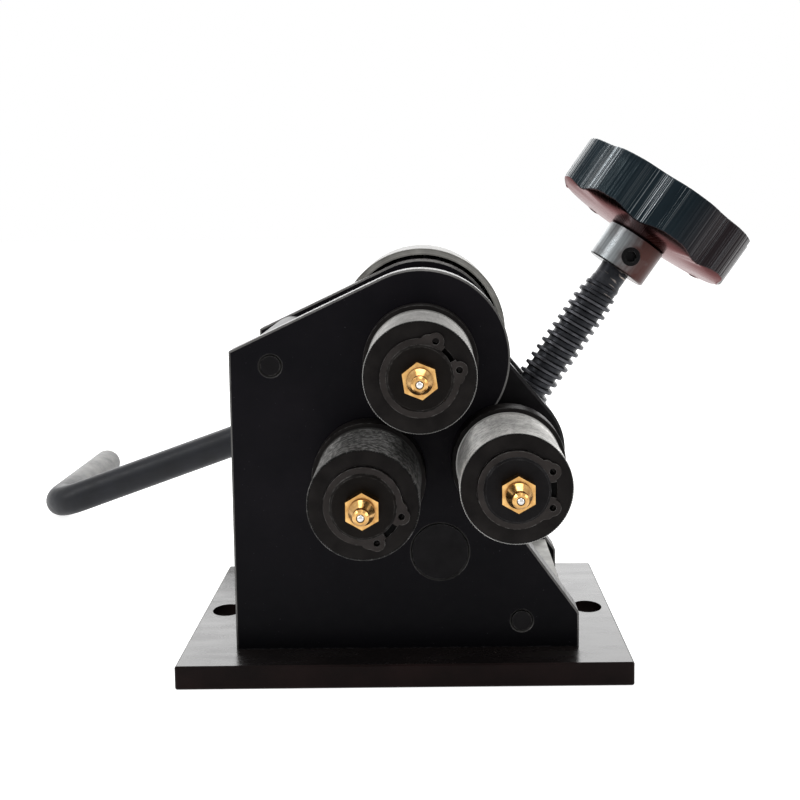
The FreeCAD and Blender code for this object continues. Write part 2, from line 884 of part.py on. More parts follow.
roller_key = (shaft_radius, d.roller_front + d.roller_key_inset, roller_back - d.roller_key_inset)
gear_key = (shaft_radius, gear_front + d.gear_key_inset, gear_back - d.gear_key_inset)
pinion_key = (d.pinion_seat / 2, pinion_front + d.gear_key_inset, pinion_back - d.gear_key_inset)


# ---------------------------------------------------------------- top spindle

def top_shaft():
    rear_groove = gear_back + d.running_gap
    rear = gear_back + d.shaft_rear_overhang
    groove_end = rear_groove + d.circlip_thickness + d.running_gap * 2
    body = turned("top_shaft", shaft_nose(d.side_gap) + [
        (shaft_radius, rear_groove), (groove_radius, rear_groove), (groove_radius, groove_end),
        (shaft_radius, groove_end), (shaft_radius, rear - d.shaft_edge),
        (shaft_radius - d.shaft_edge, rear), (ZERO, rear)])
    cut_key_seat(body, *roller_key)
    cut_key_seat(body, *gear_key)
    return place(body, top_axis[0], ZERO, top_axis[1])


def top_roller():
    body = roller("top_roller", top_axis, shaft_radius + d.seat_gap)
    cut_key_way(body, shaft_radius, d.roller_front, roller_back)
    return body


def gear_circlip():
    body = new_body("gear_circlip")
    open_ring(body, gear_back + d.running_gap * 2)
    return place(body, top_axis[0], ZERO, top_axis[1])


def involute(angle):
    return math.tan(angle) - angle


def gear_shape(teeth, front, width, bore):
    """A spur gear about the Y axis with a tooth on +X, its bore and its keyway cut."""
    module = d.gear_module.number
    pressure = math.radians(d.pressure_angle.number)
    pitch = module * teeth / 2
    base = pitch * math.cos(pressure)
    tip = pitch + module
    root = pitch - module * 1.25
    half_tooth = (math.pi * module / 2 - d.tooth_play.number) / (2 * pitch)
    low = max(base, root)

    def half_angle(radius):
        return half_tooth + involute(pressure) - involute(math.acos(min(1, base / radius)))

    def at(radius, angle):
        return Vector(radius * math.cos(angle), front, radius * math.sin(angle))

    radii = [low + (tip - low) * step / FLANK_STEPS for step in range(FLANK_STEPS + 1)]
    pitch_angle = 2 * math.pi / teeth
    edges = []
    for tooth in range(teeth):
        middle = tooth * pitch_angle
        rising = [at(radius, middle - half_angle(radius)) for radius in radii]
        falling = [at(radius, middle + half_angle(radius)) for radius in reversed(radii)]
        foot = half_angle(low)
        if root < low:
            edges.append(Part.LineSegment(at(root, middle - foot), rising[0]).toShape())
        for points in (rising, falling):
            curve = Part.BSplineCurve()
            curve.interpolate(points)
            edges.append(curve.toShape())
            if points is rising:
                edges.append(Part.Arc(rising[-1], at(tip, middle), falling[0]).toShape())
        if root < low:
            edges.append(Part.LineSegment(falling[-1], at(root, middle + foot)).toShape())
        gap_end = middle + pitch_angle - foot
        gap_middle = middle + pitch_angle / 2
        edges.append(Part.Arc(at(root, middle + foot), at(root, gap_middle), at(root, gap_end)).toShape())
    blank = Part.Face(Part.Wire(edges)).extrude(Vector(0, width, 0))
    hole = Part.makeCylinder(bore, width, Vector(0, front, 0), Vector(0, 1, 0))
    return blank.cut(hole)


def gear(label, teeth, axis, front, width, half_shaft, turn):
    """Turns the gear so that it meshes, and cuts its keyway straight up."""
    solid = gear_shape(int(teeth.number), front.number, width.number, half_shaft.number + d.seat_gap.number)
    solid.rotate(Vector(0, 0, 0), Vector(0, -1, 0), turn)
    key_top = half_shaft.number - d.key_depth.number + d.key_height.number + d.running_gap.number
    corner = Vector(-d.key_width.number / 2, front.number, 0)
    solid = solid.cut(Part.makeBox(d.key_width.number, width.number, key_top, corner))
    item = doc.addObject("Part::Feature", label)
    item.Label = label
    item.Shape = solid
    return place(item, axis[0], ZERO, axis[1])


lean = -d.left_axis_lean.number


def drive_gear():
    return gear("drive_gear", d.gear_teeth, top_axis, gear_front, d.gear_width, shaft_radius, lean)


def pinion():
    half_tooth_turn = FULL_TURN / d.pinion_teeth.number / 2
    turn = lean + FULL_TURN / 2 + half_tooth_turn
    return gear("pinion", d.pinion_teeth, left_axis, pinion_front, d.pinion_width, d.pinion_seat / 2, turn)


# ---------------------------------------------------------------- crank

crank_hub_front = d.crank_plane - d.crank_hub_length / 2
crank_hub_back = d.crank_plane + d.crank_hub_length / 2
hub_key_end = d.crank_plane - d.crank_bar / 2 - d.gear_key_inset
hub_key = (d.pinion_seat / 2, crank_hub_front + d.gear_key_inset, hub_key_end)
crank_turn_angle = as_size(HALF_TURN) - d.crank_droop
crank_washer_back = crank_hub_back + d.crank_washer
crank_nut_back = crank_washer_back + d.crank_nut_height


def crank_shaft():
    seat = d.pinion_seat / 2
    step = case_front + d.side_gap * 3
    thread = d.crank_thread / 2
    end = crank_nut_back + d.side_gap * 5
    body = turned("crank_shaft", shaft_nose(d.side_gap) + [
        (shaft_radius, step), (seat, step), (seat, crank_hub_back), (thread, crank_hub_back),
        (thread, end - d.shaft_edge), (thread - d.shaft_edge, end), (ZERO, end)])
    cut_key_seat(body, *pinion_key)
    cut_key_seat(body, *hub_key)
    return place(body, left_axis[0], ZERO, left_axis[1])


def crank_hub():
    seat = d.pinion_seat / 2 + d.seat_gap
    outer = d.crank_hub_diameter / 2
    edge = d.crank_hub_edge
    body = turned("crank_hub", [
        (seat, crank_hub_front), (outer - edge, crank_hub_front), (outer, crank_hub_front + edge),
        (outer, crank_hub_back - edge), (outer - edge, crank_hub_back), (seat, crank_hub_back)])
    cut_key_way(body, d.pinion_seat / 2, crank_hub_front, d.crank_plane - d.crank_bar / 2)
    return body


def crank_socket(body):
    """The radial hole that takes the bar, in the direction of the crank."""
    arm_x, arm_z = -cosine(d.crank_droop), -sine(d.crank_droop)
    socket = doc.addObject("Part::Cylinder", "crank_socket")
    bind(socket, "Radius", d.crank_bar / 2 + d.seat_gap)
    bind(socket, "Height", d.crank_hub_diameter)
    start = d.pinion_seat / 2 + d.cover_bush_lip
    place(socket, arm_x * start, d.crank_plane, arm_z * start, FRONT, as_size(QUARTER_TURN) + d.crank_droop)
    cut = doc.addObject("Part::Cut", "crank_hub_bored")
    body.Label = "crank_hub_blank"
    cut.Label = "crank_hub"
    cut.Base = body
    cut.Tool = socket
    return place(cut, left_axis[0], ZERO, left_axis[1])


def crank_arm():
    """A round bar from the hub, bent square to a grip that runs back."""
    body = new_body("crank_arm")
    start = d.pinion_seat / 2 + d.cover_bush_lip
    knee = d.crank_throw - d.crank_bend
    path = new_sketch(body, "XY_Plane")
    out = add_line(path, (start, d.crank_plane), (knee, d.crank_plane))
    bend = add_arc(path, knee, d.crank_plane + d.crank_bend, d.crank_bend, -math.pi / 2, 0)
    grip = add_line(path, (d.crank_throw, d.crank_plane + d.crank_bend), (d.crank_throw, d.grip_end))
    path.addConstraint(Sketcher.Constraint("Tangent", out, 2, bend, 1))
    path.addConstraint(Sketcher.Constraint("Tangent", bend, 2, grip, 1))
    path.addConstraint(Sketcher.Constraint("Horizontal", out))
    path.addConstraint(Sketcher.Constraint("Vertical", grip))
    dimension(path, "DistanceX", -1, 1, out, 1, size=start)
    dimension(path, "DistanceY", -1, 1, grip, 2, size=d.grip_end)
    section = new_sketch(body, "YZ_Plane", start)
    add_circle(section, d.crank_plane, 0, d.crank_bar / 2)
    pipe = body.newObject("PartDesign::AdditivePipe", "Pipe")
    pipe.Profile = section
    pipe.Spine = path
    doc.recompute()
    fillet(body, d.grip_round, at_height(d.grip_end, "Y"))
    return place(body, left_axis[0], ZERO, left_axis[1], UPRIGHT, crank_turn_angle)


def crank_washer():
    body = tube("crank_washer", d.crank_thread / 2 + d.running_gap, d.crank_washer_diameter / 2,
                crank_hub_back, crank_washer_back)
    return place(body, left_axis[0], ZERO, left_axis[1])


def crank_nut():
    body = new_body("crank_nut")
    sketch = facing(body, crank_washer_back)
    polygon(sketch, hex_points(d.crank_nut_flats))
    add_circle(sketch, 0, 0, d.crank_thread / 2 + d.seat_gap)
    pad(body, sketch, d.crank_nut_height, reverse=True)
    return place(body, left_axis[0], ZERO, left_axis[1])


# ---------------------------------------------------------------- swing arm and nut block

cheek_front = plate_inner + d.side_gap
front_cheek_back = cheek_front + d.cheek_thickness
cheek_back = back_inner - d.side_gap
rear_cheek_front = cheek_back - d.cheek_thickness


def cheek(label, front):
    body = new_body(label)
    sketch = facing(body, front)
    belt(sketch, top_axis, d.cheek_radius, right_axis, d.cheek_radius)
    pad(body, sketch, d.cheek_thickness, reverse=True)
    chamfer(body, d.cheek_edge, lambda edge: edge.BoundBox.YLength < TOUCH)
    holes = facing(body, front)
    for axis in (top_axis, right_axis):
        add_circle(holes, *axis, d.bush_diameter / 2 + d.seat_gap)
    pocket(body, holes, d.cheek_thickness)
    return body


def cheek_bushes(label, axis):
    members = []
    for front in (cheek_front, rear_cheek_front):
        bush = tube("bush_one", shaft_radius + d.running_gap, d.bush_diameter / 2, front,
                    front + d.cheek_thickness)
        members.append(place(bush, axis[0], ZERO, axis[1]))
    return group(label, members)


def arm_sleeve():
    body = tube("arm_sleeve", shaft_radius + d.running_gap * 4, d.arm_sleeve_diameter / 2, front_cheek_back,
                rear_cheek_front)
    return place(body, top_axis[0], ZERO, top_axis[1])


def nut_block():
    """The right roller's shaft and the block that the screw passes, turned in one piece and cross bored."""
    block = d.block_diameter / 2
    block_front = front_cheek_back + d.side_gap
    block_back = rear_cheek_front - d.side_gap
    body = turned("nut_block", shaft_nose(d.side_gap) + [
        (shaft_radius, block_front), (block - d.roller_edge, block_front),
        (block, block_front + d.roller_edge), (block, block_back - d.roller_edge),
        (block - d.roller_edge, block_back), (shaft_radius, block_back),
        (shaft_radius, cheek_back - d.shaft_edge), (shaft_radius - d.shaft_edge, cheek_back),
        (ZERO, cheek_back)])
    bore = cross_bore(body, d.insert_diameter / 2 + d.seat_gap, block)
    bore.Label = "nut_block"
    return place(bore, right_axis[0], ZERO, right_axis[1])


def cross_bore(body, radius, half_length):
    """Cuts a bore along the screw through a turned body that lies on its own Y axis."""
    label = body.Label
    drill = doc.addObject("Part::Cylinder", f"{label}_drill")
    bind(drill, "Radius", radius)
    bind(drill, "Height", half_length * 4)
    run, rise = screw_run / nut_height, screw_rise / nut_height
    place(drill, -run * half_length * 2, mid_plane, -rise * half_length * 2, UPRIGHT, screw_tilt)
    cut = doc.addObject("Part::Cut", f"{label}_bored")
    body.Label = f"{label}_blank"
    cut.Base = body
    cut.Tool = drill
    return cut


def bronze_nut():
    """The plain tube pressed into the block, a little shorter than the flats of the trunnion pin."""
    body = tube("bronze_nut", d.insert_bore / 2, d.insert_diameter / 2, -d.pin_flat + d.cheek_edge,
                d.pin_flat - d.cheek_edge, "XZ_Plane")
    return place(body, right_axis[0], mid_plane, right_axis[1], UPRIGHT, screw_tilt)


def right_bushes():
    return cheek_bushes("trunnion_bushes", right_axis)


# ---------------------------------------------------------------- pin under the screw

def trunnion_pin():
    """Journals in both plates and a thicker middle with two flats across the screw."""
    journal = d.journal_diameter / 2
    middle = d.pin_body_diameter / 2
    body = turned("trunnion_pin", [
        (ZERO, d.plate_front), (journal, d.plate_front), (journal, plate_inner + d.side_gap),
        (middle, plate_inner + d.side_gap), (middle, back_inner - d.side_gap),
        (journal, back_inner - d.side_gap), (journal, plate_back - d.pin_recess),
        (ZERO, plate_back - d.pin_recess)])
    run, rise = screw_run / nut_height, screw_rise / nut_height
    bored = cross_bore(body, d.screw_foot / 2 + d.running_gap, middle)
    tools = [bored]
    for side in (-1, 1):
        flat = doc.addObject("Part::Cylinder", "pin_flat_cutter")
        bind(flat, "Radius", middle * 2)
        bind(flat, "Height", middle)
        start = d.pin_flat if side > 0 else -d.pin_flat - middle
        place(flat, run * start, mid_plane, rise * start, UPRIGHT, screw_tilt)
        cut = doc.addObject("Part::Cut", "trunnion_pin_flat")
        cut.Base = tools[-1]
        cut.Tool = flat
        tools.append(cut)
    pin = tools[-1]
    pin.Label = "trunnion_pin"
    return place(pin, pivot[0], ZERO, pivot[1])


# ---------------------------------------------------------------- bending screw
# Heights along the screw are measured from the pivot.

foot_top = d.pin_flat + d.side_gap
thread_top = foot_top + d.thread_length
hub_bottom = thread_top + d.shank_length
hub_top = hub_bottom + d.hub_length
wheel_foot = hub_top + d.wheel_cone
wheel_bottom = wheel_foot + d.wheel_foot_rise
wheel_top = wheel_bottom + d.wheel_thickness
wheel_seat = wheel_top - d.wheel_dish - d.wheel_nut_height
collar_top = -d.pin_flat - d.side_gap
collar_bottom = collar_top - d.foot_collar_length
screw_bottom = collar_bottom - d.foot_overhang
screw_end = wheel_top - d.wheel_dish


def along_screw(item):
    return place(item, pivot[0], mid_plane, pivot[1], UPRIGHT, screw_tilt)


def screw():
    foot, thread = d.screw_foot / 2, d.screw_diameter / 2
    shank, spigot = d.screw_shank / 2, d.screw_spigot / 2
    run_out = thread - shank
    body = turned("screw", [
        (ZERO, screw_bottom), (foot - d.shaft_edge, screw_bottom), (foot, screw_bottom + d.shaft_edge),
        (foot, foot_top), (thread - d.shaft_edge, foot_top), (thread, foot_top + d.shaft_edge),
        (thread, thread_top), (shank, thread_top + run_out), (shank, hub_top), (spigot, hub_top),
        (spigot, screw_end), (ZERO, screw_end)], "XZ_Plane")
    hole = facing(body, -foot * 2)
    add_circle(hole, 0, (collar_top + collar_bottom) / 2, d.collar_pin / 2 + d.seat_gap)
    pocket(body, hole, foot * 4)
    return along_screw(body)


def foot_collar():
    outer = d.foot_collar_diameter / 2
    body = turned("foot_collar", [
        (d.screw_foot / 2 + d.seat_gap, collar_bottom), (outer - d.shaft_edge, collar_bottom),
        (outer, collar_bottom + d.shaft_edge), (outer, collar_top),
        (d.screw_foot / 2 + d.seat_gap, collar_top)], "XZ_Plane")
    hole = facing(body, -outer * 2)
    add_circle(hole, 0, (collar_top + collar_bottom) / 2, d.collar_pin / 2 + d.seat_gap)
    pocket(body, hole, outer * 4)
    return along_screw(body)


def collar_pin():
    half = d.foot_collar_diameter / 2
    body = new_body("collar_pin")
    sketch = facing(body, -half)
    add_circle(sketch, 0, (collar_top + collar_bottom) / 2, d.collar_pin / 2)
    pad(body, sketch, half * 2, reverse=True)
    return along_screw(body)


def handwheel_hub():
    outer = d.hub_diameter / 2
    edge = d.hub_edge
    body = turned("handwheel_hub", [
        (d.screw_shank / 2 + d.seat_gap, hub_bottom), (outer - edge, hub_bottom), (outer, hub_bottom + edge),
        (outer, hub_top - edge), (outer - edge, hub_top), (d.screw_shank / 2 + d.seat_gap, hub_top)],
        "XZ_Plane")
    hole = facing(body, -outer)
    add_circle(hole, 0, hub_bottom + d.set_screw_height, d.set_screw / 2 + d.seat_gap)
    pocket(body, hole, outer - d.screw_shank / 2 + d.side_gap)
    return along_screw(body)


def set_screw():
    """A socket set screw that clamps the hub from the front, a little below its surface."""
    outer = d.hub_diameter / 2 - d.hub_edge
    body = new_body("set_screw")
    height = hub_bottom + d.set_screw_height
    sketch = facing(body, -outer)
    add_circle(sketch, 0, height, d.set_screw / 2)
    pad(body, sketch, outer - d.screw_shank / 2 - d.running_gap * 2, reverse=True)
    socket = facing(body, -outer)
    polygon(socket, [(x, z + height) for x, z in hex_points(d.set_screw_socket)])
    pocket(body, socket, d.set_screw_socket_depth)
    return along_screw(body)


def handwheel():
    """A thick lobed disc: shallow cone and bevelled rim below, dished on top with a seat for its nut."""
    rim = d.wheel_diameter / 2
    cone_end = rim - d.wheel_foot_ring
    dish = rim - d.wheel_top_ring
    spigot = d.screw_spigot / 2 + d.seat_gap
    nut_room = d.wheel_nut_flats * 2 / 3
    floor = wheel_top - d.wheel_dish
    body = turned("handwheel", [
        (spigot, hub_top), (d.hub_diameter / 2, hub_top), (cone_end, wheel_foot), (rim, wheel_bottom),
        (rim, wheel_top), (dish, wheel_top), (dish - d.wheel_dish, floor), (nut_room, floor),
        (nut_room, wheel_seat), (spigot, wheel_seat)], "XZ_Plane")
    scallop = new_sketch(body, "XY_Plane", hub_top)
    orbit = rim + d.scallop_radius - d.scallop_depth
    add_circle(scallop, orbit * cosine(d.scallop_start), orbit * sine(d.scallop_start), d.scallop_radius)
    cutter = pocket(body, scallop, wheel_top - hub_top, reverse=True)
    pattern = body.newObject("PartDesign::PolarPattern", "PolarPattern")
    pattern.Originals = [cutter]
    axis = next(item for item in body.Origin.OriginFeatures if item.Role == "Z_Axis")
    pattern.Axis = (axis, [""])
    pattern.Angle = FULL_TURN
    bind(pattern, "Occurrences", d.scallop_count)
    body.Tip = pattern
    doc.recompute()
    fillet(body, d.lobe_round, lambda edge: edge.BoundBox.ZLength > d.wheel_thickness.number / 2
           and edge.BoundBox.DiagonalLength < d.wheel_thickness.number + TOUCH)
    above = at_height(wheel_top, "Z")
    outside = dish.number + d.wheel_edge.number
    chamfer(body, d.wheel_edge, lambda edge: above(edge)
            and math.hypot(edge.Vertexes[0].X, edge.Vertexes[0].Y) > outside)
    return along_screw(body)


def wheel_nut():
    body = new_body("wheel_nut")
    sketch = new_sketch(body, "XY_Plane", wheel_seat)
    polygon(sketch, hex_points(d.wheel_nut_flats))
    add_circle(sketch, 0, 0, d.screw_spigot / 2 + d.seat_gap)
    pad(body, sketch, d.wheel_nut_height)
    return along_screw(body)


# ---------------------------------------------------------------- assembly

nodes = [
    base_plate(),
    plate_screws(),
    front_plate(),
    back_plate(),
    upper_tie_rod(),
    lower_spacer(),
    spacer_pin(),
    shaft_bushes("front_shaft_bushes", d.plate_front),
    shaft_bushes("rear_shaft_bushes", back_inner),
    gear_case(),
    gear_case_cover(),
    cover_screws(),
    cover_bush(),
    top_shaft(),
    top_roller(),
    keys("spindle_keys", top_axis, [roller_key, gear_key]),
    circlip("top_circlip", top_axis, d.top_circlip_angle),
    nipple("top_nipple", top_axis, d.top_nipple_turn),
    nipple_ball("top_nipple_ball", top_axis),
    drive_gear(),
    gear_circlip(),
    crank_shaft(),
    pinion(),
    keys("crank_keys", left_axis, [pinion_key, hub_key]),
    circlip("left_circlip", left_axis, d.left_circlip_angle),
    nipple("left_nipple", left_axis),
    nipple_ball("left_nipple_ball", left_axis),
    crank_socket(crank_hub()),
    crank_arm(),
    crank_washer(),
    crank_nut(),
    roller("left_roller", left_axis, d.roller_bush_diameter / 2 + d.seat_gap),
    roller_bush("left_roller_bush", left_axis),
    cheek("front_cheek", cheek_front),
    cheek("rear_cheek", rear_cheek_front),
    arm_sleeve(),
    cheek_bushes("cheek_bushes", top_axis),
    right_bushes(),
    nut_block(),
    bronze_nut(),
    circlip("right_circlip", right_axis),
    nipple("right_nipple", right_axis),
    nipple_ball("right_nipple_ball", right_axis),
    roller("right_roller", right_axis, d.roller_bush_diameter / 2 + d.seat_gap),
    roller_bush("right_roller_bush", right_axis),
    trunnion_pin(),
    screw(),
    foot_collar(),
    collar_pin(),
    handwheel_hub(),
    set_screw(),
    handwheel(),
    wheel_nut(),
]

doc.recompute()
for item in doc.Objects:
    if "Invalid" in item.State or "Error" in item.State:
        raise RuntimeError(f"{item.Label}: {item.State}")
for node in nodes:
    if node.Shape.isNull() or not node.Shape.isValid():
        raise RuntimeError(f"{node.Label}: bad shape")
for node in nodes:
    node.Shape.exportStep(f"parts/{node.Label}.step")
    box = node.Shape.BoundBox
    print(f"{node.Label}: {len(node.Shape.Solids)} solids, {node.Shape.Volume:.0f} mm3, "
          f"X {box.XMin:.1f}..{box.XMax:.1f} Y {box.YMin:.1f}..{box.YMax:.1f} "
          f"Z {box.ZMin:.1f}..{box.ZMax:.1f}")
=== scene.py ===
"""Ring roller: the looks of the bench tool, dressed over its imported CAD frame."""

import math

import bpy
from mathutils import Matrix, Vector


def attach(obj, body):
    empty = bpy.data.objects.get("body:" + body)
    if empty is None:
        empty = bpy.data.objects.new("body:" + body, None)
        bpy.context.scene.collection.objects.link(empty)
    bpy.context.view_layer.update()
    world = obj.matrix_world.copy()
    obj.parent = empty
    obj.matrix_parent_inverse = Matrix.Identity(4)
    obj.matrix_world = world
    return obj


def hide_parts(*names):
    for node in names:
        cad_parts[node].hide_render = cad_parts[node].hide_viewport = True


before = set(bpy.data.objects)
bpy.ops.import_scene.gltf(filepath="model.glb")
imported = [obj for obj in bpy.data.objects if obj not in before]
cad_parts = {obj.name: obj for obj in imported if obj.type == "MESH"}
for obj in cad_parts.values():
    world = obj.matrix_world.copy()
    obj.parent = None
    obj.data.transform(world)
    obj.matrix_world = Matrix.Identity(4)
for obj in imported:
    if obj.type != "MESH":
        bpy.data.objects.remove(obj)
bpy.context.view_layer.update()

# all sizes are in millimetres, unless a line says otherwise
MM = 0.001

# the shafts run along Y, each through its (x, z)
TOP_AXIS = (7.5, 127.8)
LEFT_AXIS = (-13.08, 82.23)
RIGHT_AXIS = (41.4, 87.6)
TIE_ROD_AXIS = (-52, 125.5)
SPACER_PIN_AXIS = (47.3, 20.4)

# the bending screw leans along SCREW_LINE from the middle of its pin
SCREW_FOOT = (14.5, 3.0, 49.4)
SCREW_LINE = Vector((0.5757, 0.0, 0.8177)).normalized()
SCREW_LEAN = math.atan2(SCREW_LINE.x, SCREW_LINE.z)

KNURL_CREST, KNURL_ROOT = 20.25, 19.65
THREAD_CREST, THREAD_ROOT = 8.75, 6.75
HUB_TOP = 151.6
WHEEL_LOBES = 8


# ---------------------------------------------------------------- meshes


class Lathe:
    """Rings of points round a line, joined row by row."""

    def __init__(self, origin, line, across):
        self.origin, self.line = Vector(origin), Vector(line).normalized()
        across = Vector(across)
        self.across = (across - self.line * across.dot(self.line)).normalized()
        self.side = self.line.cross(self.across)
        self.points, self.faces = [], []

    def add(self, radius, angle, height):
        around = self.across * math.cos(angle) + self.side * math.sin(angle)
        self.points.append(self.origin + self.line * height + around * radius)
        return len(self.points) - 1

    def shaped(self, radii, heights):
        """A ring whose radius and height change from step to step."""
        count = len(radii)
        return [self.add(radius, math.tau * k / count, height)
                for k, (radius, height) in enumerate(zip(radii, heights))]

    def ring(self, radius, height, count):
        return self.shaped([radius] * count, [height] * count)

    def join(self, low, high, diagonals=None):
        """Faces between two rings; diagonals splits them so that knurled grooves stay straight."""
        count = len(low)
        for k in range(count):
            a, b = low[k], low[(k + 1) % count]
            c, d = high[(k + 1) % count], high[k]
            if diagonals is None:
                self.faces.append((a, b, c, d))
            elif (k + diagonals) % 2:
                self.faces += [(a, b, c), (a, c, d)]
            else:
                self.faces += [(a, b, d), (b, c, d)]

    def skin(self, rings):
        for low, high in zip(rings, rings[1:]):
            self.join(low, high)


def placed(name, mesh, body, node):
    """An object that rides on a body and stands for a CAD node."""
    piece = bpy.data.objects.new(name, mesh)
    bpy.context.scene.collection.objects.link(piece)
    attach(piece, body)
    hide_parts(node)
    return piece


def turned_piece(name, lathe, body, node, sharp=32):
    """A piece with the lathe's mesh, smooth but for edges over the sharp angle in degrees."""
    mesh = bpy.data.meshes.new(name)
    mesh.from_pydata([point * MM for point in lathe.points], [], lathe.faces)
    mesh.validate()
    for polygon in mesh.polygons:
        polygon.use_smooth = True
    mesh.set_sharp_from_angle(angle=math.radians(sharp))
    return placed(name, mesh, body, node)


def dressed_piece(node, finishes, choose):
    """A copy of a frame node whose faces take one of several finishes, by their normal."""
    name = node + "_dressed"
    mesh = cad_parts[node].data.copy()
    mesh.name = name
    mesh.materials.clear()
    for finish in finishes:
        mesh.materials.append(finish)
    for polygon in mesh.polygons:
        polygon.material_index = choose(polygon.normal)
    return placed(name, mesh, "frame", node)


def knurled_roller(node, axis, bore, body, lead):
    """A roller with a diamond knurl of real pyramids, a relief groove and a plain flange."""
    lathe = Lathe((axis[0], 0, axis[1]), (0, 1, 0), (0, 0, 1))
    count, rows = 264, 68
    face, knurl_start, knurl_end, flange_face, back = -84.5, -84.4, -51.3, -50.5, -40.9
    relief, flange, rounding = 19.5, 22.3, 0.5

    bands = []
    for j in range(rows + 1):
        height = knurl_start + (knurl_end - knurl_start) * j / rows
        radii = [KNURL_CREST if (j + k) % 2 else KNURL_ROOT for k in range(count)]
        bands.append(lathe.shaped(radii, [height] * count))
    for j in range(rows):
        lathe.join(bands[j], bands[j + 1], diagonals=j)

    front = [lathe.ring(radius, height, count) for height, radius in (
        (face + lead, bore), (face, bore + lead), (face, relief))]
    rear = [lathe.ring(radius, height, count) for height, radius in (
        (knurl_end + 0.2, relief + 0.1), (knurl_end + 0.4, relief), (flange_face, relief),
        (flange_face, flange - rounding), (flange_face + 0.15, flange - 0.15),
        (flange_face + rounding, flange), (back - rounding, flange), (back, flange - rounding),
        (back, bore))]
    lathe.skin(front + [bands[0]])
    lathe.skin([bands[-1]] + rear + [front[0]])
    return turned_piece(node + "_knurled", lathe, body, node)


def threaded_screw():
    """The bending screw: a turned core with one trapezoidal thread wound round it."""
    lathe = Lathe(SCREW_FOOT, SCREW_LINE, (0, -1, 0))
    steps, pitch = 64, 4.0
    foot, foot_radius, tip, stem, neck = -25.3, 6.0, 172.2, 4.85, 6.4

    # foot in its pin, core of the thread, neck in the hub, stem in the wheel and its nut
    core = ((foot, 5.2), (foot + 0.8, foot_radius), (15.3, foot_radius), (15.4, THREAD_ROOT),
            (128.0, THREAD_ROOT), (129.0, neck), (HUB_TOP, neck), (HUB_TOP, stem),
            (tip - 0.6, stem), (tip, 4.3))
    rings = [lathe.ring(radius, height, steps) for height, radius in core]
    lathe.skin(rings)
    for height, ring, step in ((foot, rings[0], -1), (tip, rings[-1], 1)):
        middle = lathe.add(0, 0, height)
        for k in range(steps):
            pair = (ring[k], ring[(k + 1) % steps])[::step]
            lathe.faces.append((*pair, middle))

    thread_start, thread_end = 17.6, 128.4
    buried, rounding = THREAD_ROOT - 0.25, 0.25
    half_root, half_shoulder, half_crest = 1.22, 0.74, 0.50
    fade_in, fade_out, fade_shape = 0.35, 2.6, 0.8  # the fades are in turns of the thread
    total = int((thread_end - thread_start) / pitch * steps)
    rows = []
    for k in range(total + 1):
        height = thread_start + pitch * k / steps
        run_out = ((total - k) / (fade_out * steps)) ** fade_shape
        fade = min(1.0, k / (fade_in * steps), run_out)
        top = buried + (THREAD_CREST - buried) * fade
        shoulder = THREAD_CREST - rounding if fade >= 1 else top - 0.1
        section = ((-half_root, buried), (-half_shoulder, shoulder), (-half_crest, top),
                   (half_crest, top), (half_shoulder, shoulder), (half_root, buried))
        rows.append([lathe.add(radius, math.tau * k / steps, height + aside)
                     for aside, radius in section])
    for here, there in zip(rows, rows[1:]):
        for a in range(len(here) - 1):
            lathe.faces.append((here[a], there[a], there[a + 1], here[a + 1]))
    lathe.faces += [tuple(reversed(rows[0])), tuple(rows[-1])]
    return turned_piece("screw_threaded", lathe, "bending_screw", "screw")


def moulded_wheel():
    """The handwheel: lobes bevelled below, drawn flanks, a shallow cone and a dish on top."""
    lathe = Lathe(SCREW_FOOT, SCREW_LINE, (0, -1, 0))
    count = 1440
    crest, depth, roundness, turned = 41.33, 2.4, 1.8, math.radians(5.0)
    foot, foot_radius, bevel = 153.6, 39.0, 2.2 / 2.5
    top, floor, nut_seat, rounding = 175.2, 172.2, 166.2, 0.7
    bore, nut_bore = 5.02, 12.0
    # draw marks: how many waves go round, their size and where they start, in radians
    ripples = ((31, 0.030, 0.4), (53, 0.022, 1.9), (88, 0.040, 2.7),
               (139, 0.034, 0.8), (211, 0.024, 4.1))

    rim = []
    for k in range(count):
        angle = math.tau * k / count
        wave = 0.5 - 0.5 * math.cos(WHEEL_LOBES * (angle - turned))
        draw = sum(size * math.sin(waves * angle + start) for waves, size, start in ripples)
        rim.append(crest - depth * wave ** roundness + draw)

    def flank(height, inset):
        return lathe.shaped([radius - inset for radius in rim], [height] * count)

    def lower_edge(lift, inset):
        """A ring near the foot of the flanks, which the bevel lowers where the rim draws in."""
        heights = [foot + max(0.0, radius - foot_radius) * bevel + lift for radius in rim]
        return lathe.shaped([radius - inset for radius in rim], heights)

    rings = [lathe.ring(radius, height, count) for height, radius in (
        (nut_seat, bore), (HUB_TOP, bore), (HUB_TOP, 13.25), (152.43, 24), (153.53, 38.1))]
    rings += [lower_edge(lift, inset) for lift, inset in (
        (-0.42, 0.5), (-0.14, 0.20), (0.14, 0.05), (0.5, 0), (3, 0))]
    rings += [flank(height, 0) for height in (162, 166, 170)]
    for degrees in range(0, 91, 18):
        turn = math.radians(degrees)
        rings.append(flank(top - rounding * (1 - math.sin(turn)), rounding * (1 - math.cos(turn))))
    rings.append(flank(top, 4.0))
    rings += [lathe.ring(radius, height, count) for height, radius in (
        (top, 29.8), (top - 0.3, 29.2), (floor + 0.3, 26.9), (floor, 26.2),
        (floor, nut_bore + 0.4), (floor - 0.4, nut_bore), (nut_seat, nut_bore))]
    lathe.skin(rings + [rings[0]])
    return turned_piece("handwheel_moulded", lathe, "bending_screw", "handwheel",
                        sharp=40)


# ---------------------------------------------------------------- materials


def shade(colour, factor):
    return tuple(min(1.0, part * factor) for part in colour)


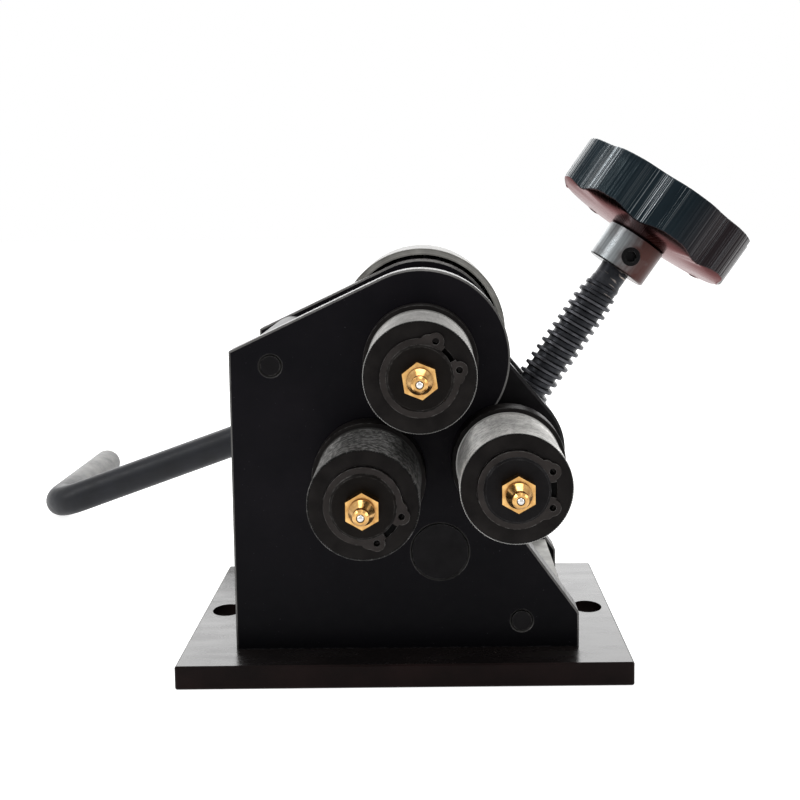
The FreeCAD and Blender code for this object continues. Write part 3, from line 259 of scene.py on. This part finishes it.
class Finish:
    """A node material; colours are linear, and plain values show where no node drives them."""

    def __init__(self, name, colour, metallic, roughness, specular):
        self.material = bpy.data.materials.new(name)
        self.material.use_nodes = True
        self.tree = self.material.node_tree
        self.shader = self.tree.nodes["Principled BSDF"]
        for socket, value in (("Base Color", (*colour, 1)), ("Metallic", metallic),
                              ("Roughness", roughness), ("Specular IOR Level", specular)):
            self.shader.inputs[socket].default_value = value
        self.space = self.node("ShaderNodeTexCoord").outputs["Object"]

    def node(self, kind, **values):
        made = self.tree.nodes.new(kind)
        for name, value in values.items():
            setattr(made, name, value)
        return made

    def link(self, source, target):
        self.tree.links.new(source, target)

    def feed(self, socket, value):
        """Gives a socket a number, a colour or another node's output."""
        if isinstance(value, (int, float)):
            socket.default_value = value
        elif isinstance(value, tuple):
            socket.default_value = (*value, 1)
        else:
            self.link(value, socket)

    def drive(self, socket, source):
        self.link(source, self.shader.inputs[socket])

    # places

    def mapped(self, scale=(1, 1, 1), centre=(0, 0, 0), turn=(0, 0, 0)):
        """Object space in millimetres, moved to centre, turned, then scaled."""
        shift = self.node("ShaderNodeVectorMath", operation="SUBTRACT")
        self.link(self.space, shift.inputs[0])
        shift.inputs[1].default_value = Vector(centre) * MM
        turned = self.node("ShaderNodeMapping", vector_type="POINT")
        self.link(shift.outputs[0], turned.inputs["Vector"])
        turned.inputs["Rotation"].default_value = turn
        sized = self.node("ShaderNodeVectorMath", operation="MULTIPLY")
        self.link(turned.outputs["Vector"], sized.inputs[0])
        sized.inputs[1].default_value = [s / MM for s in scale]
        return sized.outputs[0]

    def in_screw_frame(self, scale=(1, 1, 1)):
        """The screw's own frame: Z runs along it and X across it, from left to right."""
        return self.mapped(scale, SCREW_FOOT, (0, -SCREW_LEAN, 0))

    def parts(self, vector):
        made = self.node("ShaderNodeSeparateXYZ")
        self.link(vector, made.inputs[0])
        return made.outputs

    def length(self, vector):
        made = self.node("ShaderNodeVectorMath", operation="LENGTH")
        self.link(vector, made.inputs[0])
        return made.outputs["Value"]

    def radius(self, axis):
        """Distance from a line along Y through the axis."""
        return self.length(self.mapped((1, 0, 1), (axis[0], 0, axis[1])))

    def true_normal(self):
        return self.node("ShaderNodeNewGeometry").outputs["True Normal"]

    # numbers and colours

    def maths(self, operation, first, second=0.0):
        made = self.node("ShaderNodeMath", operation=operation)
        self.feed(made.inputs[0], first)
        self.feed(made.inputs[1], second)
        return made.outputs[0]

    def times(self, first, second):
        return self.maths("MULTIPLY", first, second)

    def span(self, factor, low, high, to_low, to_high):
        """Carries low..high over to to_low..to_high and holds the ends."""
        made = self.node("ShaderNodeMapRange")
        self.link(factor, made.inputs["Value"])
        for key, value in (("From Min", low), ("From Max", high),
                           ("To Min", to_low), ("To Max", to_high)):
            made.inputs[key].default_value = value
        return made.outputs["Result"]

    def rise(self, factor, low, high, most=1.0):
        return self.span(factor, low, high, 0.0, most)

    def fall(self, factor, low, high):
        return self.span(factor, low, high, 1.0, 0.0)

    def across_screw(self, low, high, to_low, to_high):
        return self.span(self.parts(self.in_screw_frame())["X"], low, high, to_low, to_high)

    def ramp(self, factor, dark, light, start=0.3, end=0.7):
        """A colour ramp from dark to light."""
        made = self.node("ShaderNodeValToRGB")
        self.link(factor, made.inputs["Fac"])
        for element, position, colour in zip(made.color_ramp.elements, (start, end), (dark, light)):
            element.position = position
            element.color = (*colour, 1)
        return made.outputs["Color"]

    def shades(self, factor, colour, low, high):
        return self.ramp(factor, shade(colour, low), shade(colour, high))

    def blend(self, factor, first, second):
        """Mixes two colours."""
        made = self.node("ShaderNodeMix", data_type="RGBA")
        self.feed(made.inputs["Factor"], factor)
        for key, value in (("A", first), ("B", second)):
            self.feed([s for s in made.inputs if s.name == key and s.type == "RGBA"][0], value)
        return [s for s in made.outputs if s.type == "RGBA"][0]

    # textures

    def noise(self, scale, detail, vector=None, roughness=0.55):
        made = self.node("ShaderNodeTexNoise")
        self.link(vector or self.mapped(), made.inputs["Vector"])
        made.inputs["Scale"].default_value = scale
        made.inputs["Detail"].default_value = detail
        made.inputs["Roughness"].default_value = roughness
        return made.outputs["Fac"]

    def grooves(self, radius, scale):
        """Fine rings that a lathe leaves."""
        made = self.node("ShaderNodeTexNoise", noise_dimensions="1D")
        self.link(radius, made.inputs["W"])
        made.inputs["Scale"].default_value = scale
        made.inputs["Detail"].default_value = 4
        return made.outputs["Fac"]

    def streaks(self, around, along, detail):
        """Noise round the screw's line, drawn out along it."""
        parts = self.parts(self.in_screw_frame())
        angle = self.maths("ARCTAN2", parts["Y"], parts["X"])
        join = self.node("ShaderNodeCombineXYZ")
        self.link(self.times(angle, around), join.inputs["X"])
        self.link(self.times(parts["Z"], along), join.inputs["Z"])
        return self.noise(1.0, detail, join.outputs[0])

    def edge_wear(self, reach, amount):
        """A mask of edges, where a bevelled normal leaves the true one, broken up by noise."""
        bevel = self.node("ShaderNodeBevel", samples=4)
        bevel.inputs["Radius"].default_value = reach * MM
        match = self.node("ShaderNodeVectorMath", operation="DOT_PRODUCT")
        self.link(bevel.outputs["Normal"], match.inputs[0])
        self.link(self.node("ShaderNodeNewGeometry").outputs["Normal"], match.inputs[1])
        edge = self.rise(match.outputs["Value"], 0.985, 0.80)
        return self.times(edge, self.rise(self.noise(0.55, 5), 0.42, 0.62, amount))

    def rough(self, factor, low, high):
        self.drive("Roughness", self.span(factor, 0.3, 0.7, low, high))

    def bump(self, height, strength, distance):
        """Adds relief on top of what is there."""
        made = self.node("ShaderNodeBump")
        made.inputs["Strength"].default_value = strength
        made.inputs["Distance"].default_value = distance * MM
        self.link(height, made.inputs["Height"])
        normal = self.shader.inputs["Normal"]
        if normal.is_linked:
            self.link(normal.links[0].from_socket, made.inputs["Normal"])
        self.link(made.outputs["Normal"], normal)


def black_plate():
    """Satin blackened steel with a faint violet cast, dust specks and fine scratches, and painted
    shade that darkens it towards the bench.
    """
    made = Finish("plate_black", (0.006, 0.005, 0.008), 0.0, 0.40, 0.05)
    base = made.ramp(made.noise(0.035, 5), (0.0036, 0.0034, 0.0048), (0.0078, 0.0066, 0.0088),
                     0.30, 0.72)
    # painted shade: the plates' colour darkened towards the bench
    painted_shade_near_bench = made.span(made.parts(made.mapped())["Z"], 15, 75, 0.85, 0.0)
    base = made.blend(painted_shade_near_bench, base, (0.0008, 0.0008, 0.0014))
    base = made.blend(made.rise(made.noise(1.1, 2), 0.70, 0.75, 0.45), base, (0.09, 0.085, 0.095))
    scratch = made.noise(1.0, 3, made.mapped((0.05, 1, 1.6), turn=(0, 0.6, 0)))
    base = made.blend(made.rise(scratch, 0.70, 0.75, 0.18), base, (0.07, 0.068, 0.075))
    made.drive("Base Color", made.blend(made.edge_wear(0.7, 0.5), base, (0.11, 0.105, 0.11)))
    made.rough(made.noise(0.22, 6), 0.36, 0.50)
    made.bump(made.noise(2.2, 3), 0.10, 0.05)
    return made.material


def black_base():
    """Semi-gloss black paint on the base, slightly wavy, with handling marks."""
    made = Finish("base_black", (0.006, 0.005, 0.005), 0.0, 0.22, 0.9)
    base = made.ramp(made.noise(0.03, 4), (0.0050, 0.0042, 0.0042), (0.0095, 0.0072, 0.0068))
    made.drive("Base Color", made.blend(made.edge_wear(0.5, 0.4), base, (0.07, 0.06, 0.06)))
    made.rough(made.noise(0.12, 6, made.mapped((0.25, 1, 1)), 0.65), 0.17, 0.34)
    made.bump(made.noise(0.45, 2), 0.05, 0.12)
    made.bump(made.noise(3.0, 2), 0.05, 0.03)
    return made.material


def sawn_edge(name, colour, specular):
    """Edges of the plates, blackened over fine cross-wise cutter marks."""
    made = Finish(name, colour, 0.0, 0.40, specular)
    made.drive("Base Color", made.shades(made.noise(0.06, 5), colour, 0.6, 1.7))
    marks = made.noise(1.0, 3, made.mapped((2.6, 0.08, 0.5)))
    made.rough(marks, 0.32, 0.50)
    made.bump(marks, 0.30, 0.05)
    return made.material


def turned_steel(name, axis, colour):
    """Steel turned on a lathe: fine rings round its own axis and slightly uneven blackening."""
    roughness = 0.42
    made = Finish(name, colour, 0.6, roughness, 0.08)
    base = made.shades(made.noise(0.10, 5), colour, 0.72, 1.35)
    made.drive("Base Color", made.blend(made.edge_wear(0.7, 0.6), base, (0.13, 0.125, 0.12)))
    grooves = made.grooves(made.radius(axis), 2.4)
    made.rough(grooves, roughness - 0.07, roughness + 0.09)
    made.bump(grooves, 0.18, 0.05)
    made.bump(made.noise(2.6, 3), 0.08, 0.04)
    return made.material


def roller_steel(name, axis, crest_polish_and_light):
    """Blackened knurled roller, worn light on its crests; how light the crests are also carries
    painted light and shade, set per roller.
    """
    made = Finish(name, (0.03, 0.03, 0.031), 0.5, 0.40, 0.08)
    radius = made.radius(axis)
    on_crest = made.rise(radius, KNURL_CREST - 0.33, KNURL_CREST - 0.05)
    in_groove = made.rise(radius, KNURL_ROOT - 0.13, KNURL_ROOT - 0.05)
    on_flange = made.rise(radius, KNURL_CREST + 0.25, KNURL_CREST + 0.35)
    cloud = made.noise(0.12, 5)
    dark = made.ramp(cloud, (0.0050, 0.0043, 0.0042), (0.0125, 0.0110, 0.0105))
    # painted light and shade: the worn crests set lighter on the lit roller and darker on the
    # shaded one
    worn = made.ramp(cloud, shade((0.44, 0.435, 0.42), crest_polish_and_light), shade((0.68, 0.67, 0.65), crest_polish_and_light))
    base = made.blend(on_crest, made.blend(in_groove, dark, (0.004, 0.004, 0.004)), worn)
    base = made.blend(on_flange, base, dark)
    made.drive("Base Color", made.blend(made.edge_wear(0.35, 0.8), base, (0.22, 0.215, 0.21)))
    grooves = made.grooves(radius, 2.2)
    made.rough(grooves, 0.36, 0.50)
    made.bump(grooves, 0.14, 0.05)
    return made.material


def plain_metal(name, colour, roughness, metallic=1.0, specular=0.5, variety=0.25, wear=None):
    """Machined metal with cloudy tone, fine grain and, where asked, brighter edges."""
    made = Finish(name, colour, metallic, roughness, specular)
    base = made.shades(made.noise(0.14, 5), colour, 1 - variety, 1 + variety)
    if wear:
        base = made.blend(made.edge_wear(0.4, 0.7), base, wear)
    made.drive("Base Color", base)
    made.rough(made.noise(0.5, 5), roughness - 0.06, roughness + 0.08)
    made.bump(made.noise(3.2, 3), 0.06, 0.03)
    return made.material


def crank_enamel():
    """Black enamel with a slight orange peel; the grip is lighter grey in patches, a painted
    reflection.
    """
    colour, roughness = (0.0065, 0.0072, 0.0095), 0.42
    made = Finish("crank_black", colour, 0.0, roughness, 0.20)
    on_grip = made.rise(made.parts(made.mapped())["Y"], 172.0, 212.0, 0.8)
    patches = made.noise(0.09, 5, roughness=0.65)
    # painted reflection: light grey patches on the grip
    grip_painted_reflection = made.times(on_grip, made.span(patches, 0.35, 0.6, 0.55, 1.0))
    base = made.shades(made.noise(0.08, 4), colour, 0.7, 1.5)
    made.drive("Base Color", made.blend(grip_painted_reflection, base, (0.17, 0.168, 0.16)))
    made.rough(made.noise(0.3, 5), roughness - 0.05, roughness + 0.08)
    made.bump(made.noise(0.8, 2), 0.05, 0.06)
    return made.material


def wheel_black():
    """Glossy moulded black with draw marks in its gloss; painted highlight lines on its flanks, a
    painted reflection tint, cool on the left and warm on the right, and a dull underside with a
    painted rose reflection.
    """
    made = Finish("wheel_black", (0.006, 0.007, 0.009), 0.0, 0.12, 0.10)
    down = made.node("ShaderNodeVectorMath", operation="DOT_PRODUCT")
    made.link(made.true_normal(), down.inputs[0])
    down.inputs[1].default_value = -SCREW_LINE
    facing_down = down.outputs["Value"]
    parts = made.parts(made.in_screw_frame())
    on_flank = made.fall(made.maths("ABSOLUTE", facing_down), 0.3, 0.5)
    # the underside, which gets a painted rose reflection
    underside_painted_reflection = made.times(made.rise(facing_down, 0.45, 0.60), made.fall(parts["Z"], 156.5, 157.5))

    # painted highlight lines, standing in for lamp reflections: they gather beside each valley, and
    # mostly on the wheel's left
    turns = made.times(made.maths("ARCTAN2", parts["Y"], parts["X"]), float(WHEEL_LOBES))
    beside_valley = made.maths("COSINE", made.maths("ADD", turns, math.radians(108)))
    line = made.times(made.rise(made.streaks(190.0, 0.010, 2), 0.565, 0.605),
                      made.span(beside_valley, -0.1, 0.6, 0.05, 1.0))
    line = made.times(line, made.rise(made.streaks(11.0, 0.004, 2), 0.40, 0.54))
    line = made.times(line, made.across_screw(4.0, 15.0, 0.9, 0.12))
    line = made.times(line, on_flank)

    base = made.ramp(made.noise(0.05, 4), (0.0042, 0.0085, 0.0125), (0.0080, 0.0140, 0.0190))
    # painted reflection: the right side tinted warm and darker, the left stays cool
    base = made.blend(made.across_screw(2.0, 17.0, 0.0, 0.95), base, (0.0066, 0.0042, 0.0050))
    # painted highlight: the lines near white and half metallic, so that they shine
    base = made.blend(line, base, (0.80, 0.86, 0.90))
    # painted reflection: the underside tinted rose and made metallic
    made.drive("Base Color", made.blend(underside_painted_reflection, base, (0.06, 0.040, 0.040)))
    made.drive("Metallic", made.maths("MAXIMUM", underside_painted_reflection, made.times(line, 0.5)))
    # painted reflection: the reflections tinted cool on the left, rose on the right
    painted_reflection_tint = made.blend(made.across_screw(2.0, 17.0, 0.0, 1.0), (0.72, 0.93, 1.0), (0.90, 0.72, 0.78))
    made.drive("Specular Tint", made.blend(underside_painted_reflection, painted_reflection_tint, (0.62, 0.47, 0.47)))

    draw = made.streaks(55.0, 0.008, 3)
    gloss = made.span(draw, 0.3, 0.7, 0.07, 0.17)
    made.drive("Roughness", made.maths("ADD", gloss, made.times(underside_painted_reflection, 0.12)))
    relief = made.times(on_flank, made.across_screw(2.0, 15.0, 1.0, 0.2))
    made.bump(made.times(draw, relief), 0.6, 0.25)
    return made.material


def hub_steel():
    """Bare turned steel with streaks along the screw; its right side is darker and brown, painted
    shade with a warm painted reflection.
    """
    made = Finish("hub_steel", (0.42, 0.40, 0.37), 1.0, 0.34, 0.5)
    streak = made.streaks(9.0, 0.02, 5)
    base = made.ramp(streak, (0.09, 0.10, 0.105), (0.26, 0.275, 0.28))
    # painted shade and a warm painted reflection on the hub's right side
    right_side_painted_shade = made.maths("ADD", made.across_screw(-6.5, 4.5, 0.0, 1.2),
                       made.span(made.noise(0.09, 4), 0.35, 0.65, -0.35, 0.25))
    right_side_painted_shade = made.rise(right_side_painted_shade, 0.0, 0.9, 0.96)
    made.drive("Base Color", made.blend(right_side_painted_shade, base, (0.046, 0.018, 0.015)))
    made.rough(streak, 0.26, 0.42)
    made.bump(streak, 0.10, 0.06)
    made.bump(made.noise(2.8, 3), 0.08, 0.03)
    return made.material


def screw_steel():
    """Blackened thread: dark in its root, rubbed on the crest and scored at its upper end."""
    made = Finish("screw_steel", (0.05, 0.052, 0.056), 0.8, 0.40, 0.2)
    radius = made.length(made.in_screw_frame((1, 1, 0)))
    cloud = made.noise(0.3, 5)
    root = made.ramp(cloud, (0.014, 0.015, 0.018), (0.032, 0.033, 0.037))
    worn = made.ramp(cloud, (0.035, 0.037, 0.042), (0.10, 0.10, 0.11))
    base = made.blend(made.rise(radius, THREAD_CREST - 0.65, THREAD_CREST, 0.8), root, worn)
    upper_end = made.times(made.rise(made.parts(made.in_screw_frame())["Z"], 119.0, 125.0),
                           made.across_screw(-2.5, 3.0, 0.15, 1.0))
    score = made.rise(made.noise(1.0, 4, made.in_screw_frame((0.14, 0.14, 1.3))), 0.58, 0.68, 0.9)
    made.drive("Base Color", made.blend(made.times(upper_end, score), base, (0.42, 0.36, 0.32)))
    made.rough(made.noise(1.2, 5), 0.32, 0.50)
    made.bump(made.noise(1.6, 4), 0.25, 0.08)
    return made.material


def nipple_brass():
    """Turned brass with brown dirt in its creases."""
    made = Finish("nipple_brass", (0.60, 0.35, 0.13), 1.0, 0.22, 0.5)
    bright = made.ramp(made.noise(0.35, 4), (0.40, 0.205, 0.060), (0.67, 0.41, 0.155))
    crease = made.node("ShaderNodeAmbientOcclusion", samples=4)
    crease.inputs["Distance"].default_value = 1.2 * MM
    dirt = made.span(crease.outputs["AO"], 0.35, 0.85, 0.75, 0.0)
    made.drive("Base Color", made.blend(dirt, bright, (0.10, 0.045, 0.018)))
    made.rough(made.noise(1.2, 5), 0.14, 0.27)
    made.bump(made.noise(2.4, 2), 0.05, 0.03)
    return made.material


def case_steel():
    """Blackened, with an uncoated steel outside, and a painted highlight: a bright turned ring on
    its faces, kept to their top.
    """
    made = Finish("case_steel", (0.006, 0.005, 0.007), 0.0, 0.45, 0.08)
    radius = made.radius(TOP_AXIS)
    # painted highlight: the outer ring of each face made bright, only near the top
    ring = made.times(made.rise(radius, 36.3, 36.6),
                      made.rise(made.parts(made.mapped())["Z"], 106.0, 112.0))
    outside = made.fall(made.maths("ABSOLUTE", made.parts(made.true_normal())["Y"]), 0.2, 0.4)
    bare_and_painted_highlight = made.maths("MAXIMUM", ring, outside)
    grooves = made.grooves(radius, 1.4)
    cloud = made.noise(0.12, 5, made.mapped((1, 0.2, 1)))
    black = made.ramp(cloud, (0.004, 0.004, 0.005), (0.008, 0.007, 0.009))
    turned = made.ramp(made.blend(0.5, cloud, grooves), (0.20, 0.195, 0.18), (0.46, 0.45, 0.42),
                       0.35, 0.65)
    dull = made.ramp(cloud, (0.115, 0.112, 0.106), (0.150, 0.146, 0.138))
    made.drive("Base Color", made.blend(bare_and_painted_highlight, black, made.blend(outside, turned, dull)))
    made.drive("Metallic", made.times(bare_and_painted_highlight, 0.3))
    made.bump(grooves, 0.15, 0.05)
    return made.material


# ---------------------------------------------------------------- pieces


def on_top(normal):
    """0 the upper face, 1 the other faces."""
    return 0 if normal.z > 0.9 else 1


def flat_or_edge(normal):
    """0 the flat faces, 1 the edges, 2 the chamfer between them."""
    facing = abs(normal.y)
    return 0 if facing > 0.9 else 2 if facing > 0.3 else 1


# node, axis, bore, body, lead of the bore, how polished the crests are, which also carries painted
# light and shade: the left roller's crests painted dark as in shadow, the right roller's painted
# bright as lit
ROLLERS = (
    ("top_roller", TOP_AXIS, 12.0, "top_spindle", 1.6, 0.5),
    ("left_roller", LEFT_AXIS, 14.0, "left_roller", 0.3, 0.08),
    ("right_roller", RIGHT_AXIS, 14.0, "right_roller", 0.3, 0.95),
)
for node, axis, bore, body, lead, crest_polish_and_light in ROLLERS:
    roller = knurled_roller(node, axis, bore, body, lead)
    roller.data.materials.append(roller_steel(node + "_steel", axis, crest_polish_and_light))
threaded_screw().data.materials.append(screw_steel())
moulded_wheel().data.materials.append(wheel_black())

base_edge = sawn_edge("base_edge", (0.0065, 0.0032, 0.0030), 0.06)
dressed_piece("base_plate", (black_base(), base_edge), on_top)
plate_finishes = (
    black_plate(),
    sawn_edge("plate_edge", (0.016, 0.013, 0.013), 0.35),
    plain_metal("edge_line_steel", (0.060, 0.058, 0.056), 0.46, metallic=0.7, specular=0.3),
)
for node in ("front_plate", "back_plate"):
    dressed_piece(node, plate_finishes, flat_or_edge)

# each finish and the CAD nodes that wear it
FINISHES = (
    (plain_metal("spacer_steel", (0.36, 0.355, 0.34), 0.55, metallic=0.3, specular=0.2),
     ["lower_spacer"]),
    (plain_metal("dark_steel", (0.007, 0.0065, 0.007), 0.42, metallic=0.5, specular=0.08,
                 wear=(0.10, 0.10, 0.10)),
     ["plate_screws", "cover_screws", "front_cheek", "rear_cheek", "arm_sleeve", "nut_block",
      "trunnion_pin", "set_screw", "crank_washer", "crank_nut", "foot_collar", "wheel_nut"]),
    (plain_metal("bright_steel", (0.34, 0.33, 0.31), 0.30),
     ["crank_keys", "spindle_keys", "collar_pin"]),
    (plain_metal("gear_steel", (0.012, 0.012, 0.013), 0.45, metallic=0.6, specular=0.1),
     ["drive_gear", "pinion"]),
    (plain_metal("spring_steel", (0.022, 0.019, 0.018), 0.36, metallic=0.6, specular=0.12,
                 variety=0.3, wear=(0.20, 0.195, 0.19)),
     ["top_circlip", "left_circlip", "right_circlip", "gear_circlip"]),
    # painted shade: the bushes made near black and barely reflecting, so the gap round each shaft
    # reads as shadow
    (plain_metal("bush_black_painted_shade", (0.003, 0.003, 0.003), 0.5, metallic=0.0, specular=0.02),
     ["left_roller_bush", "right_roller_bush"]),
    (plain_metal("bronze", (0.46, 0.30, 0.14), 0.34),
     ["front_shaft_bushes", "rear_shaft_bushes", "cover_bush", "cheek_bushes", "trunnion_bushes",
      "bronze_nut"]),
    (plain_metal("ball_steel", (0.62, 0.61, 0.59), 0.16),
     ["top_nipple_ball", "left_nipple_ball", "right_nipple_ball"]),
    (nipple_brass(), ["top_nipple", "left_nipple", "right_nipple"]),
    (crank_enamel(), ["crank_arm", "crank_hub"]),
    (hub_steel(), ["handwheel_hub"]),
    (turned_steel("top_shaft_steel", TOP_AXIS, (0.007, 0.006, 0.0055)), ["top_shaft"]),
    (turned_steel("crank_shaft_steel", LEFT_AXIS, (0.007, 0.006, 0.0055)), ["crank_shaft"]),
    (turned_steel("tie_rod_steel", TIE_ROD_AXIS, (0.007, 0.0065, 0.007)), ["upper_tie_rod"]),
    (turned_steel("spacer_pin_steel", SPACER_PIN_AXIS, (0.008, 0.0075, 0.008)), ["spacer_pin"]),
    (case_steel(), ["gear_case", "gear_case_cover"]),
)
for finish, nodes in FINISHES:
    for node in nodes:
        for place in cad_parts[node].material_slots:
            place.material = finish


# ---------------------------------------------------------------- stage


def emptied(block):
    """The emptied node tree of a material or a world."""
    block.use_nodes = True
    block.node_tree.nodes.clear()
    return block.node_tree


def seen_rays(tree):
    """1 for camera, glossy and transmission rays."""
    path = tree.nodes.new("ShaderNodeLightPath")
    total = path.outputs["Is Camera Ray"]
    for name in ("Is Glossy Ray", "Is Transmission Ray"):
        both = tree.nodes.new("ShaderNodeMath")
        both.operation = "MAXIMUM"
        tree.links.new(total, both.inputs[0])
        tree.links.new(path.outputs[name], both.inputs[1])
        total = both.outputs[0]
    return total


def by_ray(tree, output, seen, unseen):
    """One shader for the seen rays and another for the rest, sent to a new output."""
    shown = tree.nodes.new("ShaderNodeMixShader")
    tree.links.new(seen_rays(tree), shown.inputs["Fac"])
    tree.links.new(unseen.outputs[0], shown.inputs[1])
    tree.links.new(seen.outputs[0], shown.inputs[2])
    tree.links.new(shown.outputs[0], tree.nodes.new(output).inputs["Surface"])


def grey_diffuse(tree, grey):
    made = tree.nodes.new("ShaderNodeBsdfDiffuse")
    made.inputs["Color"].default_value = (grey, grey, grey, 1)
    return made


def pale_floor():
    """A floor that seen rays find white, except for the object's shadow."""
    reach = 6.0  # metres
    mesh = bpy.data.meshes.new("studio_floor")
    mesh.from_pydata([(-reach, -reach, 0), (reach, -reach, 0), (reach, reach, 0),
                      (-reach, reach, 0)], [], [(0, 1, 2, 3)])
    floor = bpy.data.objects.new("studio_floor", mesh)
    bpy.context.scene.collection.objects.link(floor)
    made = bpy.data.materials.new("floor_white")
    tree = emptied(made)
    glow = tree.nodes.new("ShaderNodeEmission")
    glow.inputs["Strength"].default_value = 0.84
    glowing = tree.nodes.new("ShaderNodeAddShader")
    tree.links.new(glow.outputs[0], glowing.inputs[0])
    tree.links.new(grey_diffuse(tree, 0.5).outputs[0], glowing.inputs[1])
    by_ray(tree, "ShaderNodeOutputMaterial", glowing, grey_diffuse(tree, 0.8))
    mesh.materials.append(made)


def room_light(tree):
    """How bright the room is by direction: pale behind and above the bench, dim in front of it."""
    way = tree.nodes.new("ShaderNodeTexCoord")
    parts = tree.nodes.new("ShaderNodeSeparateXYZ")
    tree.links.new(way.outputs["Generated"], parts.inputs[0])
    most = tree.nodes.new("ShaderNodeMath")
    most.operation = "MAXIMUM"
    directions = (("Y", -0.45, 0.35, 0.14), ("Z", 0.45, 0.85, 0.0))
    for socket, (axis, low, high, least) in zip(most.inputs, directions):
        span = tree.nodes.new("ShaderNodeMapRange")
        tree.links.new(parts.outputs[axis], span.inputs["Value"])
        for key, value in (("From Min", low), ("From Max", high),
                           ("To Min", least), ("To Max", 1.0)):
            span.inputs[key].default_value = value
        tree.links.new(span.outputs["Result"], socket)
    return most.outputs[0]


def white_room():
    """A world that seen rays find white and that lights the object like a room."""
    world = bpy.data.worlds.new("studio_white")
    bpy.context.scene.world = world
    tree = emptied(world)
    white, soft = (tree.nodes.new("ShaderNodeBackground") for _ in range(2))
    for background in (white, soft):
        background.inputs["Color"].default_value = (1, 1, 1, 1)
    white.inputs["Strength"].default_value = 1.0
    tree.links.new(room_light(tree), soft.inputs["Strength"])
    by_ray(tree, "ShaderNodeOutputWorld", white, soft)


def lamp(name, place, target, size, power):
    """A soft rectangular lamp, in metres and watts."""
    light = bpy.data.lights.new(name, "AREA")
    light.shape = "RECTANGLE"
    light.size, light.size_y = size
    light.energy = power
    thing = bpy.data.objects.new(name, light)
    thing.location = place
    toward = Vector(target) - Vector(place)
    thing.rotation_euler = toward.to_track_quat("-Z", "Y").to_euler()
    bpy.context.scene.collection.objects.link(thing)


def camera():
    """The photograph's viewpoint."""
    place = Vector((10.43, -425.91, 186.17)) * MM
    yaw, pitch, roll = -0.0004169, 0.08848, 0.01022  # radians
    forward = Vector((math.sin(yaw) * math.cos(pitch), math.cos(yaw) * math.cos(pitch),
                      -math.sin(pitch)))
    right = Vector((math.cos(yaw), -math.sin(yaw), 0))
    down = forward.cross(right)
    across = right * math.cos(roll) + down * math.sin(roll)
    up = right * math.sin(roll) - down * math.cos(roll)
    lens = bpy.data.cameras.new("camera")
    lens.lens, lens.sensor_width = 44.39, 36
    lens.shift_x, lens.shift_y = -0.0338, -0.1279
    thing = bpy.data.objects.new("camera", lens)
    turn = Matrix((across, up, -forward)).transposed().to_4x4()
    thing.matrix_world = Matrix.Translation(place) @ turn
    bpy.context.scene.collection.objects.link(thing)
    bpy.context.scene.camera = thing


pale_floor()
white_room()
lamp("overhead_softbox", (0.05, 0.20, 1.1), (0.0, 0.05, 0.1), (0.9, 0.7), 9)
lamp("back_softbox", (0.0, 1.7, 0.75), (0.0, 0.0, 0.1), (2.6, 1.2), 22)
lamp("left_strip", (-0.95, -0.35, 0.70), (0.05, 0.0, 0.12), (0.10, 0.9), 5)
lamp("right_softbox", (1.0, -0.15, 0.5), (0.0, 0.0, 0.1), (0.3, 0.6), 2)
camera()
bpy.context.scene.view_settings.view_transform = "Standard"
